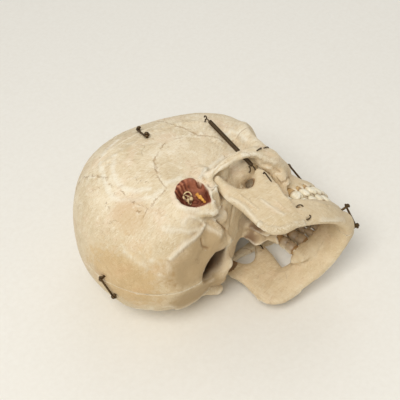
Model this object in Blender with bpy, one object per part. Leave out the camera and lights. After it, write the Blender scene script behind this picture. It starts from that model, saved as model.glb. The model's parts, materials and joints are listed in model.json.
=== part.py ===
"""Dissected human skull for teaching: sawn cranium, sprung jaw, separate teeth, hooks and wires.

The skull lies on its left side, as it is stored: +X runs towards the face, +Y towards the crown
and +Z up through the right side. Its bones are modelled in the anatomical frame, with X to the
front, Y to the left and Z to the crown, and its origin midway between the ear openings.
"""

import math

import bmesh
import bpy
from mathutils import Matrix, Vector
from mathutils.bvhtree import BVHTree

# Driving sizes of the bones
CRANIUM_LENGTH = 0.188
CRANIUM_BREADTH = 0.132
CRANIUM_HEIGHT = 0.137
VAULT_WALL = 0.0062
SAW_GAP = 0.0004
CLEARANCE = 0.0003
JAW_JOINT_GAP = 0.0009
OVERRUN = 0.004
WELD = 0.00001

# Driving sizes of the teeth
MOLAR_WIDTH = 0.0102

# Driving sizes of the metal fittings
WIRE = 0.0015
PIN_SHAFT = 0.0017
PIN_HEAD = 0.0036
PIN_DEPTH = 0.0042
HOOK_STANDOFF = 0.0008
SPRING_OUTER = 0.0037
SPRING_WIRE = 0.0010
SPRING_END = 0.0050
SPRING_TURNS = 20
POINTS_PER_TURN = 8
WIRE_ROUNDING = 1

# Driving sizes of the dissected ear
WINDOW_LENGTH = 0.029
WINDOW_HEIGHT = 0.025
WINDOW_DEPTH = 0.0105
WINDOW_TURN = math.radians(33)
CANAL_RING = 0.0034
CANAL_TUBE = 0.0013
VESTIBULE = 0.0044
NERVE_TUBE = 0.0016
SEPTUM_THICKNESS = 0.0014

# Grid of the rough bone forms and the smoothing that follows
BONE_GRID = 0.0019
JAW_GRID = 0.0015
EAR_GRID = 0.0004
SMOOTH_ROUNDS = 8
CRANIUM_FACET_SHARE = 0.0269
JAW_FACET_SHARE = 0.038
FOSSA_FACET_SHARE = 0.07

# How the skull lies: turned about its long axis and about its vertical axis
ROLL = math.radians(1.7)
PITCH = math.radians(0.3)
REST_FLAT = 0.0007

# Tables of places are in parts of the driving sizes: a standard skull has this many parts
LENGTH_PARTS = 183
BREADTH_PARTS = 140
HEIGHT_PARTS = 137


def at(point_shares):
    """A place, or a size along each axis, from its parts of length, breadth and height."""
    x, y, z = point_shares
    return Vector((
        x * CRANIUM_LENGTH / LENGTH_PARTS,
        y * CRANIUM_BREADTH / BREADTH_PARTS,
        z * CRANIUM_HEIGHT / HEIGHT_PARTS,
    ))


def other_side(point_shares):
    x, y, z = point_shares
    return (x, -y, z)


# Braincase sections from back to front, in parts:
# place along the length, half width, crown, widest level, base, floor of the cavity
VAULT_SECTION_SHARES = (
    (-88, 13, 44, 31, 19, None),
    (-84, 31, 57, 32, 4, None),
    (-78, 43, 69, 33, -9, 14),
    (-68, 54, 84, 36, -22, -8),
    (-54, 63, 99, 39, -33, -20),
    (-38, 68.5, 109, 42, -37, -24),
    (-22, 70, 114, 44, -36, -22),
    (-5, 68.5, 116, 44, -30, 6),
    (12, 65, 114.5, 43, -22, 7),
    (29, 61, 111, 42, -15, 8),
    (45, 57, 104.5, 42, -4, 27),
    (60, 52.5, 95, 43, 8, 32),
    (72, 48, 84, 44, 16, 38),
    (81, 42, 73, 44, 22, 42),
    (88, 32, 61, 43, 28, None),
    (93, 17, 49, 41, 33, None),
)
SECTION_POINTS = 28
SECTION_SQUARE_SHARE = 0.88

# Rounded bone masses: centre and radii, in parts, with True where the left side has one too
BONE_MASS_SHARES = (
    ((59, -51, -13), (11, 8, 11), True),
    ((61, -23, -17), (18, 14, 14), True),
    ((73, -15, -27), (10, 10, 9), True),
    ((64, 0, -29), (26, 24, 4.5), False),
    ((36, 0, 2), (16, 16, 11), False),
    ((47, -37, 8), (18, 14, 15), True),
    ((24, -54, 1), (7, 11, 5), True),
    ((4, -54, -7), (9, 8, 6), True),
    ((-9, -17, -29), (11.5, 6, 6.5), True),
    ((-17, -53, -3), (18, 13, 16), True),
    ((8, -34, -8), (18, 18, 9), True),
    ((90, 0, 34), (6, 12, 9), False),
)

# Bars and plates of bone: the axis that their thickness is measured along, then stations of
# centre, half thickness and half height, in parts
BONE_BAR_SHARES = {
    "zygomatic_arch": ("y", (((-8, -63, 5), 3.5, 3.0), ((6, -64.5, 0), 3.5, 3.8),
                             ((16, -66, -2.5), 3.5, 3.9), ((28, -66, -2.2), 3.3, 4.7),
                             ((39, -65.5, -3.2), 3.5, 5.4), ((49, -63, -6.5), 4.2, 6.5),
                             ((57, -57, -10), 5.0, 8.0))),
    "frontal_process": ("y", (((71, -48, 31), 4.5, 7.5), ((67, -50.5, 20), 4.2, 6.5),
                              ((63, -52, 7), 4.4, 7.0), ((59, -53, -7), 5.0, 9.0))),
    "cheek": ("x", (((59, -51, -13), 6.5, 10.0), ((67, -42, -15), 6.5, 10.5), ((75, -29, -15), 6.0, 11.5))),
    "cheek_crest": ("y", (((61, -46, -18), 5.0, 7.0), ((60, -39, -27), 4.5, 6.0),
                          ((61, -32, -35), 4.5, 5.0))),
    "brow": ("x", (((92, 2, 37), 6.5, 7.0), ((91, -14, 38), 6.5, 6.0), ((86, -30, 38), 5.5, 5.5),
                   ((78, -43, 34), 5.0, 5.0), ((71, -50, 25), 4.5, 5.0))),
    "orbit_floor_rim": ("x", (((65.5, -49, -3), 4.0, 5.0), ((74, -36, -5.5), 4.0, 4.5),
                              ((80, -22, -5), 4.0, 4.5), ((84, -14, 3), 3.6, 4.5))),
    "nose_side": ("y", (((78, -15, -20), 4.4, 6.0), ((81.5, -13.5, -6), 3.6, 5.5),
                        ((86, -11.5, 8), 3.4, 5.0), ((89.5, -8, 27), 3.4, 5.5))),
    "nasal_bone": ("y", (((90, -3, 32), 5.0, 5.0), ((94, -3.5, 20), 4.8, 3.6), ((99, -3, 9), 4.6, 2.2))),
    "orbit_wall": ("y", (((67, -48.5, 12), 3.2, 15.0), ((59, -43, 12), 3.4, 15.0),
                         ((46, -34, 12), 4.0, 13.0))),
    "ethmoid": ("y", (((48, -3, 12), 10.5, 19.0), ((68, -3, 13), 10.5, 20.0), ((85, -3, 15), 10.0, 18.0))),
    "clivus": ("y", (((3, -3, -22), 9.0, 5.0), ((16, -3, -14), 10.0, 7.0), ((32, -3, -4), 12.0, 9.0))),
    "inner_pterygoid": ("y", (((39, -14, -6), 2.7, 8.0), ((42, -14.5, -36), 2.4, 6.0))),
    "outer_pterygoid": ("y", (((37, -21, -6), 2.7, 9.0), ((35, -26, -32), 2.3, 8.0))),
    "nasal_spine": ("y", (((86, 0, -25), 5.0, 3.0), ((94, 0, -22), 2.2, 1.8))),
    "mastoid": ("y", (((-15, -57, 4), 8.0, 13.0), ((-11, -56, -12), 7.5, 10.5),
                      ((-8, -53, -28), 4.2, 4.8))),
}

# Hollows cut from the bone: bars and masses as above
HOLLOW_BAR_SHARES = {
    "orbit": ("y", (((104, -38, 11), 25.0, 20.0), ((86, -33.5, 13), 19.0, 16.5),
                    ((76, -31, 14), 17.5, 16.0), ((60, -24, 16), 12.5, 12.0),
                    ((47, -16, 18), 7.0, 7.0), ((39, -11, 18), 4.0, 4.0))),
    "nasal_cavity": ("y", (((112, 0, -8), 10.0, 15.5), ((92, 0, -8), 10.5, 15.5), ((72, 0, -9), 9.0, 15.0),
                           ((52, 0, -12), 9.5, 12.0), ((38, 0, -17), 10.5, 8.0),
                           ((24, 0, -22), 12.0, 8.0))),
    "foramen_magnum": ("y", (((-17, 0, -52), 15.0, 18.0), ((-16, 0, -26), 15.0, 18.0),
                             ((-12, 0, -2), 15.0, 17.0))),
    "ear_opening": ("x", (((0, -80, 0), 4.5, 5.0), ((0, -62, 0), 4.2, 5.0), ((1, -50, 1), 3.6, 4.2))),
}
HOLLOW_MASS_SHARES = (
    ((-38, 0, 4), (41, 52, 29), False),
    ((26, -33, 16), (21, 15, 12), True),
)

# Jaw: the right half's bars and masses, and the outline of its upright plate seen from the side
CONDYLE_SHARES = ((13, -53, -5), (5.2, 10, 5))
FOSSA_BAR_SHARES = {
    "condyle_way": ("y", (((13, -52, -4), 9.5, 5.6), ((12.5, -50.5, -12), 9.0, 9.5),
                          ((12, -50, -22), 9.0, 11.0))),
}
JAW_BAR_SHARES = {
    "body": ("y", (((12, -49, -58), 4.6, 9.0), ((26, -48.5, -62), 5.2, 14.0),
                   ((42, -43, -65.5), 5.6, 14.5), ((56, -35.5, -70), 6.2, 13.5),
                   ((69, -25, -73), 6.2, 13.3), ((78, -12.5, -75), 6.0, 13.2),
                   ((81.5, 2, -76), 6.4, 13.2))),
    "neck": ("y", (((13.5, -52.5, -4), 7.0, 4.4), ((13.5, -51.8, -12), 4.6, 6.4),
                   ((14.5, -51, -22), 4.0, 8.4))),
}
JAW_MASS_SHARES = (
    ((80.8, -3, -79.5), (6.6, 15.0, 8.6)),
    ((54, -30, -59), (14, 6, 6)),
)
RAMUS_OUTLINE_SHARES = (
    (9, -10), (17.5, -10), (20, -15.5), (22.5, -21.5), (26.5, -25), (31.5, -25.5), (36, -22),
    (40, -16.5), (44, -13.5), (47.5, -14.5), (49, -20), (48, -30), (45, -38), (42.5, -46), (41, -54),
    (38, -64), (35, -72), (27, -76.5), (19, -75.5), (12, -71.5), (7.5, -66), (6, -59), (6.3, -50),
    (7.5, -40), (7.8, -31), (7, -24), (7, -17),
)
# Rings of the plate across its thickness: share of the thickness and how far its edge is drawn in
RAMUS_EDGE_SHARES = ((-0.5, 2.6), (-0.2, 0.0), (0.2, 0.0), (0.5, 2.6))
RAMUS_LEVEL_SHARES = (-51.5, -47.5)
RAMUS_THICKNESS = 0.0070

# Tooth rows: an ellipse seen from below, its centre and half sizes in parts, and the bite plane's
# level at the back and front of the row
UPPER_ROW_SHARES = ((50, 42), 27.0, (-46.5, -51.0))
LOWER_ROW_SHARES = ((50, 39), 24.8, (-47.1, -51.3))
BITE_LEVEL_LENGTH_SHARES = (52, 92)
# Per tooth from the middle: width, depth, crown height and root length in molar widths, the
# share of its width and of its depth at the biting end, then the lean of its root
TOOTH_SHARES = {
    "upper": (
        ("central_incisor", 0.83, 0.68, 0.98, 1.20, 0.92, 0.22, 0.42),
        ("lateral_incisor", 0.64, 0.60, 0.90, 1.20, 0.86, 0.22, 0.38),
        ("canine", 0.75, 0.78, 1.02, 1.50, 0.30, 0.30, 0.26),
        ("first_premolar", 0.69, 0.88, 0.84, 1.30, 0.62, 0.66, 0.12),
        ("second_premolar", 0.67, 0.88, 0.80, 1.28, 0.62, 0.66, 0.10),
        ("first_molar", 1.00, 1.06, 0.74, 1.20, 0.76, 0.74, 0.06),
        ("second_molar", 0.94, 1.06, 0.70, 1.12, 0.76, 0.74, 0.04),
    ),
    "lower": (
        ("central_incisor", 0.51, 0.58, 0.88, 1.10, 0.92, 0.22, 0.24),
        ("lateral_incisor", 0.57, 0.60, 0.90, 1.16, 0.90, 0.22, 0.22),
        ("canine", 0.68, 0.74, 1.04, 1.40, 0.30, 0.30, 0.18),
        ("first_premolar", 0.68, 0.74, 0.84, 1.25, 0.60, 0.62, 0.08),
        ("second_premolar", 0.70, 0.78, 0.80, 1.25, 0.64, 0.66, 0.04),
        ("first_molar", 1.08, 1.00, 0.74, 1.20, 0.78, 0.74, 0.00),
        ("second_molar", 1.02, 0.98, 0.72, 1.14, 0.78, 0.74, 0.00),
    ),
}
TOOTH_POINTS = 8
TOOTH_SQUARE_SHARE = 0.72
TOOTH_TAPER_SHARE = 0.34
# Levels of a tooth: share of the root (below nought) or crown, share of width, share of depth
TOOTH_PROFILE_SHARES = (
    (-1.0, 0.26, 0.26), (-0.55, 0.58, 0.62), (0.0, 0.80, 0.84), (0.42, 1.0, 1.0), (0.80, 0.97, 0.84),
)

# Ridges of bone round the roots: levels at the back and front, how far they stand behind the
# teeth in front, half thickness and half height, in parts
UPPER_RIDGE_SHARES = (-33.0, -36.0, 2.8, 4.9, 8.0)
LOWER_RIDGE_SHARES = (-60.5, -65.5, 3.5, 5.2, 8.0)
RIDGE_STATIONS = 9
RIDGE_END = math.radians(97)
RIDGE_SKEW_SHARE = 0.5
SAW_LEVEL_SHARE = 76

# Pins and hooks: profile shares of the head, and how finely their wires turn
PIN_TIP_SHARE = 0.45
PIN_RIM_SHARE = 0.16
PIN_CROWN_SHARE = 0.34
PIN_DOME_SHARE = 0.55
PIN_SIDES = 8
SEAT_REACH = 0.005
LATCH_SAMPLES = 13
LATCH_END_SAMPLES = 2
EYE_SWEEP = math.radians(272)
EYE_POINTS = 9
CROOK_SWEEP = math.radians(98)
CROOK_POINTS = 5
TIP_FLARE_SHARE = 0.25
TIP_LENGTH_SHARE = 1.2
LEAD_TURN_SHARE = 0.75

# Latches: the bones and places of the pivot and of the catch, and the way the crook opens
LATCHES = {
    "calvarium_right": ("cranium_right_half", (2, -65, 65), "calvarium", (5, -60, 79), 1),
    "calvarium_left": ("cranium_left_half", (2, 65, 65), "calvarium", (5, 60, 79), -1),
    "occiput": ("cranium_left_half", (-84, 14, 11), "cranium_right_half", (-87, -5, 19), 1),
    "maxilla": ("cranium_left_half", (91, 4.4, -25), "cranium_right_half", (86, -14.5, -9.5), 1),
    "chin": ("mandible_left_half", (86, 5, -82), "mandible_right_half", (82, -15, -73), -1),
}

# Jaw springs: where they are anchored on the temple and where they pull the jaw
SPRING_ANCHOR_SHARES = (52.3, -54, 52.4)
SPRING_PULL_SHARES = (45.6, -51.5, -10.2)
JAW_WIRE_SHARES = (
    (45.9, -50.2, -11.9), (45.6, -47.2, -14.2), (45.2, -46.2, -19.2), (45.0, -47.5, -22.2),
    (45.0, -52, -23.0), (44.6, -56.1, -23.5), (43.4, -57.0, -26.7), (40.8, -56.4, -35.7),
)
JAW_WIRE = 0.0012

# Screw eyes on the temple that hold the springs: an open ring on a shank
ANCHOR_EYE = 0.0030
ANCHOR_WIRE = 0.0012
ANCHOR_STANDOFF = 0.0042
ANCHOR_POINTS = 12
ANCHOR_START = math.radians(-90)
ANCHOR_SWEEP = math.radians(290)

# Two wire staples in the right cheek bone
CHEEK_STAPLE_SHARES = {"cheek_staple_back": (53.4, -64.4, -9.3), "cheek_staple_front": (62.3, -58.3, -8.2)}
STAPLE_WIRE = 0.0011
STAPLE_LENGTH = 0.0060
STAPLE_DEPTH = 0.0025
STAPLE_BEND_SHARE = 0.72

# Roots shown on the right: first and last angle along the row, how far outside it, level, half
# thickness and half height
ROOT_WINDOW_SHARES = (math.radians(22), math.radians(80), 6.3, -38.3, 3.9, 5.0)

# Nasal septum, seen from the left, against the clock
SEPTUM_OUTLINE_SHARES = (
    (81, -26), (84, -15), (88, 1), (84, 8), (70, 7.5), (54, 2), (43, -6), (40, -13), (45, -26.5),
    (60, -27), (75, -27),
)

# The dissected ear
EAR_FACET_SHARE = 0.08
WINDOW_PLACE_SHARES = (-12, -64.5, -6)
WINDOW_PROFILE_SHARES = ((-1.2, 1.15), (-0.1, 1.02), (0.35, 0.9), (0.75, 0.78), (1.0, 0.55))
WINDOW_POINTS = 18
VESTIBULE_SHARES = (-1.0, -1.4, 3.0)
CANAL_POINTS = 18
CANAL_START = math.radians(20)
CANAL_PLANE_SHARES = (
    ((-1, -0.8, 0.6), (0.5, 0, 1)), ((-0.3, -1, 1), (-1, 0, 0)), ((-1, -0.7, -0.6), (0, -1, 0.4)),
)
NERVE_SHARES = (
    (7.0, 4.5, 6.0), (6.0, -0.2, 4.6), (5.2, -1.6, 1.4), (4.8, -2.2, -2.5), (5.2, -0.6, -6.5),
    (5.8, 4.5, -8.6),
)

AXES = {"x": Vector((1, 0, 0)), "y": Vector((0, 1, 0)), "z": Vector((0, 0, 1))}


def material(name, colour, roughness, metallic=0.0):
    made = bpy.data.materials.new(name)
    made.use_nodes = True
    shader = made.node_tree.nodes["Principled BSDF"]
    shader.inputs["Base Color"].default_value = (*colour, 1.0)
    shader.inputs["Roughness"].default_value = roughness
    shader.inputs["Metallic"].default_value = metallic
    return made


def mesh_of(form, name):
    """Turns a bmesh into a mesh whose faces point outwards, and frees it."""
    bmesh.ops.recalc_face_normals(form, faces=form.faces)
    mesh = bpy.data.meshes.new(name)
    form.to_mesh(mesh)
    form.free()
    return mesh


def place_object(name, mesh, parent=None):
    made = bpy.data.objects.new(name, mesh)
    bpy.context.scene.collection.objects.link(made)
    made.parent = parent
    return made


def as_cutter(made):
    made.hide_render = True
    made.display_type = "WIRE"
    return made


def keep_whole(made):
    """Settles a bone's cuts and clears the flaps without thickness and loose crumbs that they leave."""
    mesh = shown_mesh(made, made.name)
    form = bmesh.new()
    form.from_mesh(mesh)
    bmesh.ops.triangulate(form, faces=form.faces)
    bmesh.ops.dissolve_degenerate(form, dist=WELD, edges=form.edges)
    bmesh.ops.triangulate(form, faces=form.faces)
    twins = {}
    for face in form.faces:
        twins.setdefault(frozenset(face.verts), []).append(face)
    flaps = [face for faces in twins.values() if len(faces) > 1 for face in faces]
    bmesh.ops.delete(form, geom=flaps, context="FACES")
    left, bodies = set(form.faces), []
    while left:
        body, edge_faces = set(), [left.pop()]
        while edge_faces:
            face = edge_faces.pop()
            body.add(face)
            for edge in face.edges:
                new = left.intersection(edge.link_faces)
                left -= new
                edge_faces += new
        bodies.append(body)
    bodies.sort(key=lambda body: sum(face.calc_area() for face in body))
    crumbs = [face for body in bodies[:-1] for face in body]
    bmesh.ops.delete(form, geom=crumbs, context="FACES")
    form.to_mesh(mesh)
    form.free()
    made.modifiers.clear()
    made.data = mesh


def shown_mesh(made, name):
    """The mesh that an object's modifiers give, as a mesh of its own."""
    bpy.context.view_layer.update()
    shown = made.evaluated_get(bpy.context.evaluated_depsgraph_get())
    mesh = bpy.data.meshes.new_from_object(shown)
    mesh.name = name
    return mesh


def settled_mesh(made, name):
    """As shown_mesh, and the object itself is removed."""
    mesh = shown_mesh(made, name)
    bpy.data.objects.remove(made)
    return mesh


def mirrored_mesh(mesh, name):
    """The same form on the other side of the median plane."""
    form = bmesh.new()
    form.from_mesh(mesh)
    bmesh.ops.transform(form, matrix=Matrix.Diagonal((1, -1, 1, 1)), verts=form.verts)
    bmesh.ops.reverse_faces(form, faces=form.faces)
    made = bpy.data.meshes.new(name)
    form.to_mesh(made)
    form.free()
    return made


def add_mass(form, centre, radii, subdivisions=3):
    """An ellipsoid."""
    stretch = Matrix.Diagonal((*radii, 1.0))
    bmesh.ops.create_icosphere(
        form, subdivisions=subdivisions, radius=1.0, matrix=Matrix.Translation(centre) @ stretch
    )


def add_rings(form, rings):
    """Skins closed rings of points into one body with flat ends."""
    loops = [[form.verts.new(point) for point in ring] for ring in rings]
    for low, high in zip(loops, loops[1:]):
        for i, corner in enumerate(low):
            after = (i + 1) % len(low)
            form.faces.new((corner, low[after], high[after], high[i]))
    form.faces.new(loops[0])
    form.faces.new(reversed(loops[-1]))


def oval(centre, across, up, points):
    """A ring of points round a centre, from its two half axes."""
    turns = [2 * math.pi * k / points for k in range(points)]
    return [centre + across * math.cos(turn) + up * math.sin(turn) for turn in turns]


def add_bar(form, stations, thickness_axis, points=14):
    """An oval bar through stations of centre, half thickness and half height."""
    rings = []
    for i, (centre, thin, tall) in enumerate(stations):
        before = stations[max(i - 1, 0)][0]
        after = stations[min(i + 1, len(stations) - 1)][0]
        along = (after - before).normalized()
        across = (thickness_axis - along * along.dot(thickness_axis)).normalized()
        rings.append(oval(centre, across * thin, along.cross(across) * tall, points))
    add_rings(form, rings)


def add_table_bars(form, bar_shares, sides):
    """The bars of a table, on each of the sides: -1 keeps the right side, 1 mirrors it."""
    for axis, stations in bar_shares.values():
        for side in sides:
            add_bar(form, [
                (at((x, -side * y, z)), at((0, thin, 0)).y, at((0, 0, tall)).z)
                for (x, y, z), thin, tall in stations
            ], AXES[axis])


def add_table_masses(form, mass_shares):
    for centre, radii, paired in mass_shares:
        add_mass(form, at(centre), at(radii))
        if paired:
            add_mass(form, at(other_side(centre)), at(radii))


def vault_ring(section_shares, level, inset):
    """One braincase section, or the cavity's, from its lowest level and an inset."""
    x, half_width, crown, widest, _, _ = section_shares
    half = at((0, half_width, 0)).y - inset
    middle = at((x, 0, widest))
    rise = at((0, 0, crown - widest)).z - inset
    drop = at((0, 0, widest - level)).z
    ring = []
    for point in oval(Vector(), AXES["y"], AXES["z"], SECTION_POINTS):
        across = math.copysign(abs(point.y) ** SECTION_SQUARE_SHARE, point.y) * half
        up = math.copysign(abs(point.z) ** SECTION_SQUARE_SHARE, point.z)
        ring.append(middle + Vector((0, across, up * (rise if up > 0 else drop))))
    return ring


def row_point(row_shares, angle):
    """A place on a tooth row, level with the ears, and the direction of the row there."""
    (centre, reach), half_width, _ = row_shares
    place = at((centre + reach * math.cos(angle), -half_width * math.sin(angle), 0))
    along = at((-reach * math.sin(angle), -half_width * math.cos(angle), 0)).normalized()
    return place, along


def row_angle(row_shares, distance):
    """The angle at which a row is this long, counted from the middle of the mouth."""
    steps = 400
    angle, length = 0.0, 0.0
    before = row_point(row_shares, 0.0)[0]
    while length < distance:
        angle += math.pi / steps
        here = row_point(row_shares, angle)[0]
        length += (here - before).length
        before = here
    return angle


def bite_level(row_shares, place):
    """The height of the bite plane at a place along the row."""
    back, front = row_shares[2]
    start, end = (at((x, 0, 0)).x for x in BITE_LEVEL_LENGTH_SHARES)
    share = (place.x - start) / (end - start)
    return at((0, 0, back + (front - back) * share)).z


def tooth_mesh(name, sizes, place, along, root_way, grown=0.0):
    """A tooth, or its socket where it is grown by a clearance: root, neck, crown and biting end."""
    width, depth, crown, root, end_width, end_depth, lean = sizes
    inward = AXES["z"].cross(along) * math.copysign(1, place.y)
    axis = (AXES["z"] * root_way + inward * lean).normalized()
    across = (inward - axis * inward.dot(axis)).normalized()
    levels = TOOTH_PROFILE_SHARES + ((1.0, end_width, end_depth),)
    rings = []
    for level, wide, deep in levels:
        down = crown * (1 - level) if level >= 0 else crown - root * level
        if level == -1.0:
            down += grown
        if level == 1.0:
            down -= grown
        half = (along * (width * wide / 2 + grown), across * (depth * deep / 2 + grown))
        ring = []
        for k in range(TOOTH_POINTS):
            turn = 2 * math.pi * (k + 0.5) / TOOTH_POINTS
            c = math.copysign(abs(math.cos(turn)) ** TOOTH_SQUARE_SHARE, math.cos(turn))
            s = math.copysign(abs(math.sin(turn)) ** TOOTH_SQUARE_SHARE, math.sin(turn))
            taper = 1 - TOOTH_TAPER_SHARE * max(0.0, s)
            ring.append(place + axis * down + half[0] * (c * taper) + half[1] * s)
        rings.append(ring)
    form = bmesh.new()
    add_rings(form, rings)
    return mesh_of(form, name)


def tooth_row(jaw, side):
    """Names, meshes and socket meshes of one quarter of the teeth; side is -1 right, 1 left."""
    row_shares = UPPER_ROW_SHARES if jaw == "upper" else LOWER_ROW_SHARES
    side_name = "right" if side < 0 else "left"
    travelled = (SAW_GAP + CLEARANCE) / 2
    made = []
    for name, *shares in TOOTH_SHARES[jaw]:
        sizes = [share * MOLAR_WIDTH for share in shares[:4]] + shares[4:]
        travelled += sizes[0] / 2
        place, along = row_point(row_shares, row_angle(row_shares, travelled))
        place.z = bite_level(row_shares, place)
        travelled += sizes[0] / 2 + CLEARANCE
        if side > 0:
            place.y, along.y = -place.y, -along.y
        root_way = 1 if jaw == "upper" else -1
        label = f"{jaw}_{side_name}_{name}"
        made.append((
            label,
            tooth_mesh(label, sizes, place, along, root_way),
            tooth_mesh(label + "_socket", sizes, place, along, root_way, CLEARANCE),
            place,
        ))
    return made


def add_ridge(form, row_shares, ridge_shares, sides):
    """The ridge of bone that holds a row of teeth."""
    back, front, inset, thin, tall = ridge_shares
    (centre, reach), half_width, _ = row_shares
    ridge_row = ((centre, reach - inset), half_width, None)
    for side in sides:
        stations = []
        for k in range(RIDGE_STATIONS):
            share = k / (RIDGE_STATIONS - 1)
            place, _ = row_point(ridge_row, RIDGE_END * share)
            level = at((0, 0, front + (back - front) * share)).z
            middle = Vector((place.x, -side * place.y, level))
            stations.append((middle, at((0, thin, 0)).y, at((0, 0, tall)).z))
        stations.insert(0, (stations[0][0] + AXES["y"] * (-side * stations[0][1]), *stations[0][1:]))
        add_bar(form, stations, AXES["x"] + AXES["y"] * (side * RIDGE_SKEW_SHARE), 12)


def fused_bone(solid, hollow, name, grid, facet_share):
    """One closed skin round overlapping forms, less its hollows, smoothed as bone is."""
    made = place_object(name, mesh_of(solid, name))
    skin = made.modifiers.new("skin", "REMESH")
    skin.mode = "VOXEL"
    skin.voxel_size = grid
    if hollow:
        cutter = place_object(name + "_hollow", mesh_of(hollow, name + "_hollow"))
        inner = cutter.modifiers.new("skin", "REMESH")
        inner.mode = "VOXEL"
        inner.voxel_size = grid
        cut(made, cutter)
        again = made.modifiers.new("skin_again", "REMESH")
        again.mode = "VOXEL"
        again.voxel_size = grid
    smooth = made.modifiers.new("smooth", "SMOOTH")
    smooth.factor = 0.5
    smooth.iterations = SMOOTH_ROUNDS
    fewer = made.modifiers.new("fewer_facets", "DECIMATE")
    fewer.ratio = facet_share
    mesh = settled_mesh(made, name)
    if hollow:
        bpy.data.objects.remove(cutter)
    return mesh


def cut(made, cutter, operation="DIFFERENCE"):
    step = made.modifiers.new(cutter.name, "BOOLEAN")
    step.operation = operation
    step.object = cutter
    return step


def region(name, low, high, parent):
    """A box cutter between two corners."""
    form = bmesh.new()
    size = high - low
    bmesh.ops.create_cube(form, size=1.0, matrix=(
        Matrix.Translation((low + high) / 2) @ Matrix.Diagonal((*size, 1.0))
    ))
    return as_cutter(place_object(name, mesh_of(form, name), parent))


def cranium_mesh():
    solid = bmesh.new()
    add_rings(solid, [vault_ring(row, row[4], 0.0) for row in VAULT_SECTION_SHARES])
    add_table_masses(solid, BONE_MASS_SHARES)
    add_table_bars(solid, BONE_BAR_SHARES, (-1, 1))
    add_ridge(solid, UPPER_ROW_SHARES, UPPER_RIDGE_SHARES, (-1, 1))
    hollow = bmesh.new()
    inner = [vault_ring(row, row[5], VAULT_WALL) for row in VAULT_SECTION_SHARES if row[5] is not None]
    add_rings(hollow, inner)
    add_table_masses(hollow, HOLLOW_MASS_SHARES)
    add_table_bars(hollow, HOLLOW_BAR_SHARES, (-1, 1))
    return fused_bone(solid, hollow, "cranium", BONE_GRID, CRANIUM_FACET_SHARE)


def jaw_mesh():
    """The right half of the jaw, a little past the median plane."""
    solid = bmesh.new()
    add_table_bars(solid, JAW_BAR_SHARES, (-1,))
    for centre, radii in (CONDYLE_SHARES,) + JAW_MASS_SHARES:
        add_mass(solid, at(centre), at(radii))
    add_ridge(solid, LOWER_ROW_SHARES, LOWER_RIDGE_SHARES, (-1,))
    top, bottom = max(z for _, z in RAMUS_OUTLINE_SHARES), min(z for _, z in RAMUS_OUTLINE_SHARES)
    outline = [at((x, 0, z)) for x, z in RAMUS_OUTLINE_SHARES]
    rings = []
    for face, drawn_in in RAMUS_EDGE_SHARES:
        ring = []
        for place in grown_outline(outline, at((drawn_in, 0, 0)).x):
            share = (place.z - at((0, 0, bottom)).z) / at((0, 0, top - bottom)).z
            level = RAMUS_LEVEL_SHARES[1] + (RAMUS_LEVEL_SHARES[0] - RAMUS_LEVEL_SHARES[1]) * share
            ring.append(Vector((place.x, at((0, level, 0)).y + face * RAMUS_THICKNESS, place.z)))
        rings.append(ring)
    add_rings(solid, rings)
    return fused_bone(solid, None, "jaw", JAW_GRID, JAW_FACET_SHARE)


def seat_on(tree, guess_shares):
    """The place on a bone nearest to a guess, and the way out of the bone there."""
    place, _, _, _ = tree.find_nearest(at(guess_shares))
    outward = Vector()
    for _, normal, _, _ in tree.find_nearest_range(place, SEAT_REACH):
        outward += normal
    return place, outward.normalized()


def pin_form(place, axis, level, grown=0.0):
    """A round-headed pin, or its hole where it is grown by a clearance; level is under its head."""
    across = axis.orthogonal().normalized()
    shaft = PIN_SHAFT / 2 + grown
    head = PIN_HEAD / 2 + grown
    low = -PIN_DEPTH - grown
    profile = (
        (shaft * PIN_TIP_SHARE, low), (shaft, low + PIN_SHAFT), (shaft, level), (head, level),
        (head, level + PIN_HEAD * PIN_RIM_SHARE),
        (head * PIN_DOME_SHARE, level + PIN_HEAD * PIN_CROWN_SHARE),
    )
    form = bmesh.new()
    add_rings(form, [
        oval(place + axis * height, across * radius, axis.cross(across) * radius, PIN_SIDES)
        for radius, height in profile
    ])
    return form


def wire_object(name, points, thickness, parent):
    """A round wire along points, with closed ends."""
    curve = bpy.data.curves.new(name, "CURVE")
    curve.dimensions = "3D"
    curve.bevel_depth = thickness / 2
    curve.bevel_resolution = WIRE_ROUNDING
    curve.use_fill_caps = True
    line = curve.splines.new("POLY")
    line.points.add(len(points) - 1)
    for corner, place in zip(line.points, points):
        corner.co = (*place, 1.0)
    made = bpy.data.objects.new(name, curve)
    bpy.context.scene.collection.objects.link(made)
    made.parent = parent
    return made


def latch_frame(pivot_seat, catch_seat, trees):
    """The latch's plane: its pins' common axis, its direction and how high the hook runs."""
    (pivot, pivot_out), (catch, catch_out) = pivot_seat, catch_seat
    axis = (pivot_out + catch_out).normalized()
    reach = catch - pivot
    along = (reach - axis * reach.dot(axis)).normalized()
    across = axis.cross(along)
    highest = max(0.0, reach.dot(axis))
    for tree in trees:
        for k in range(-LATCH_END_SAMPLES, LATCH_SAMPLES + LATCH_END_SAMPLES):
            for side in (-1, 0, 1):
                above = pivot + reach * (k / (LATCH_SAMPLES - 1)) + across * (side * PIN_HEAD / 2)
                above += axis * (CRANIUM_LENGTH - above.dot(axis) + pivot.dot(axis))
                hit = tree.ray_cast(above, -axis)[0]
                if hit:
                    highest = max(highest, (hit - pivot).dot(axis))
    return axis, along, across, highest + HOOK_STANDOFF + WIRE / 2


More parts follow.
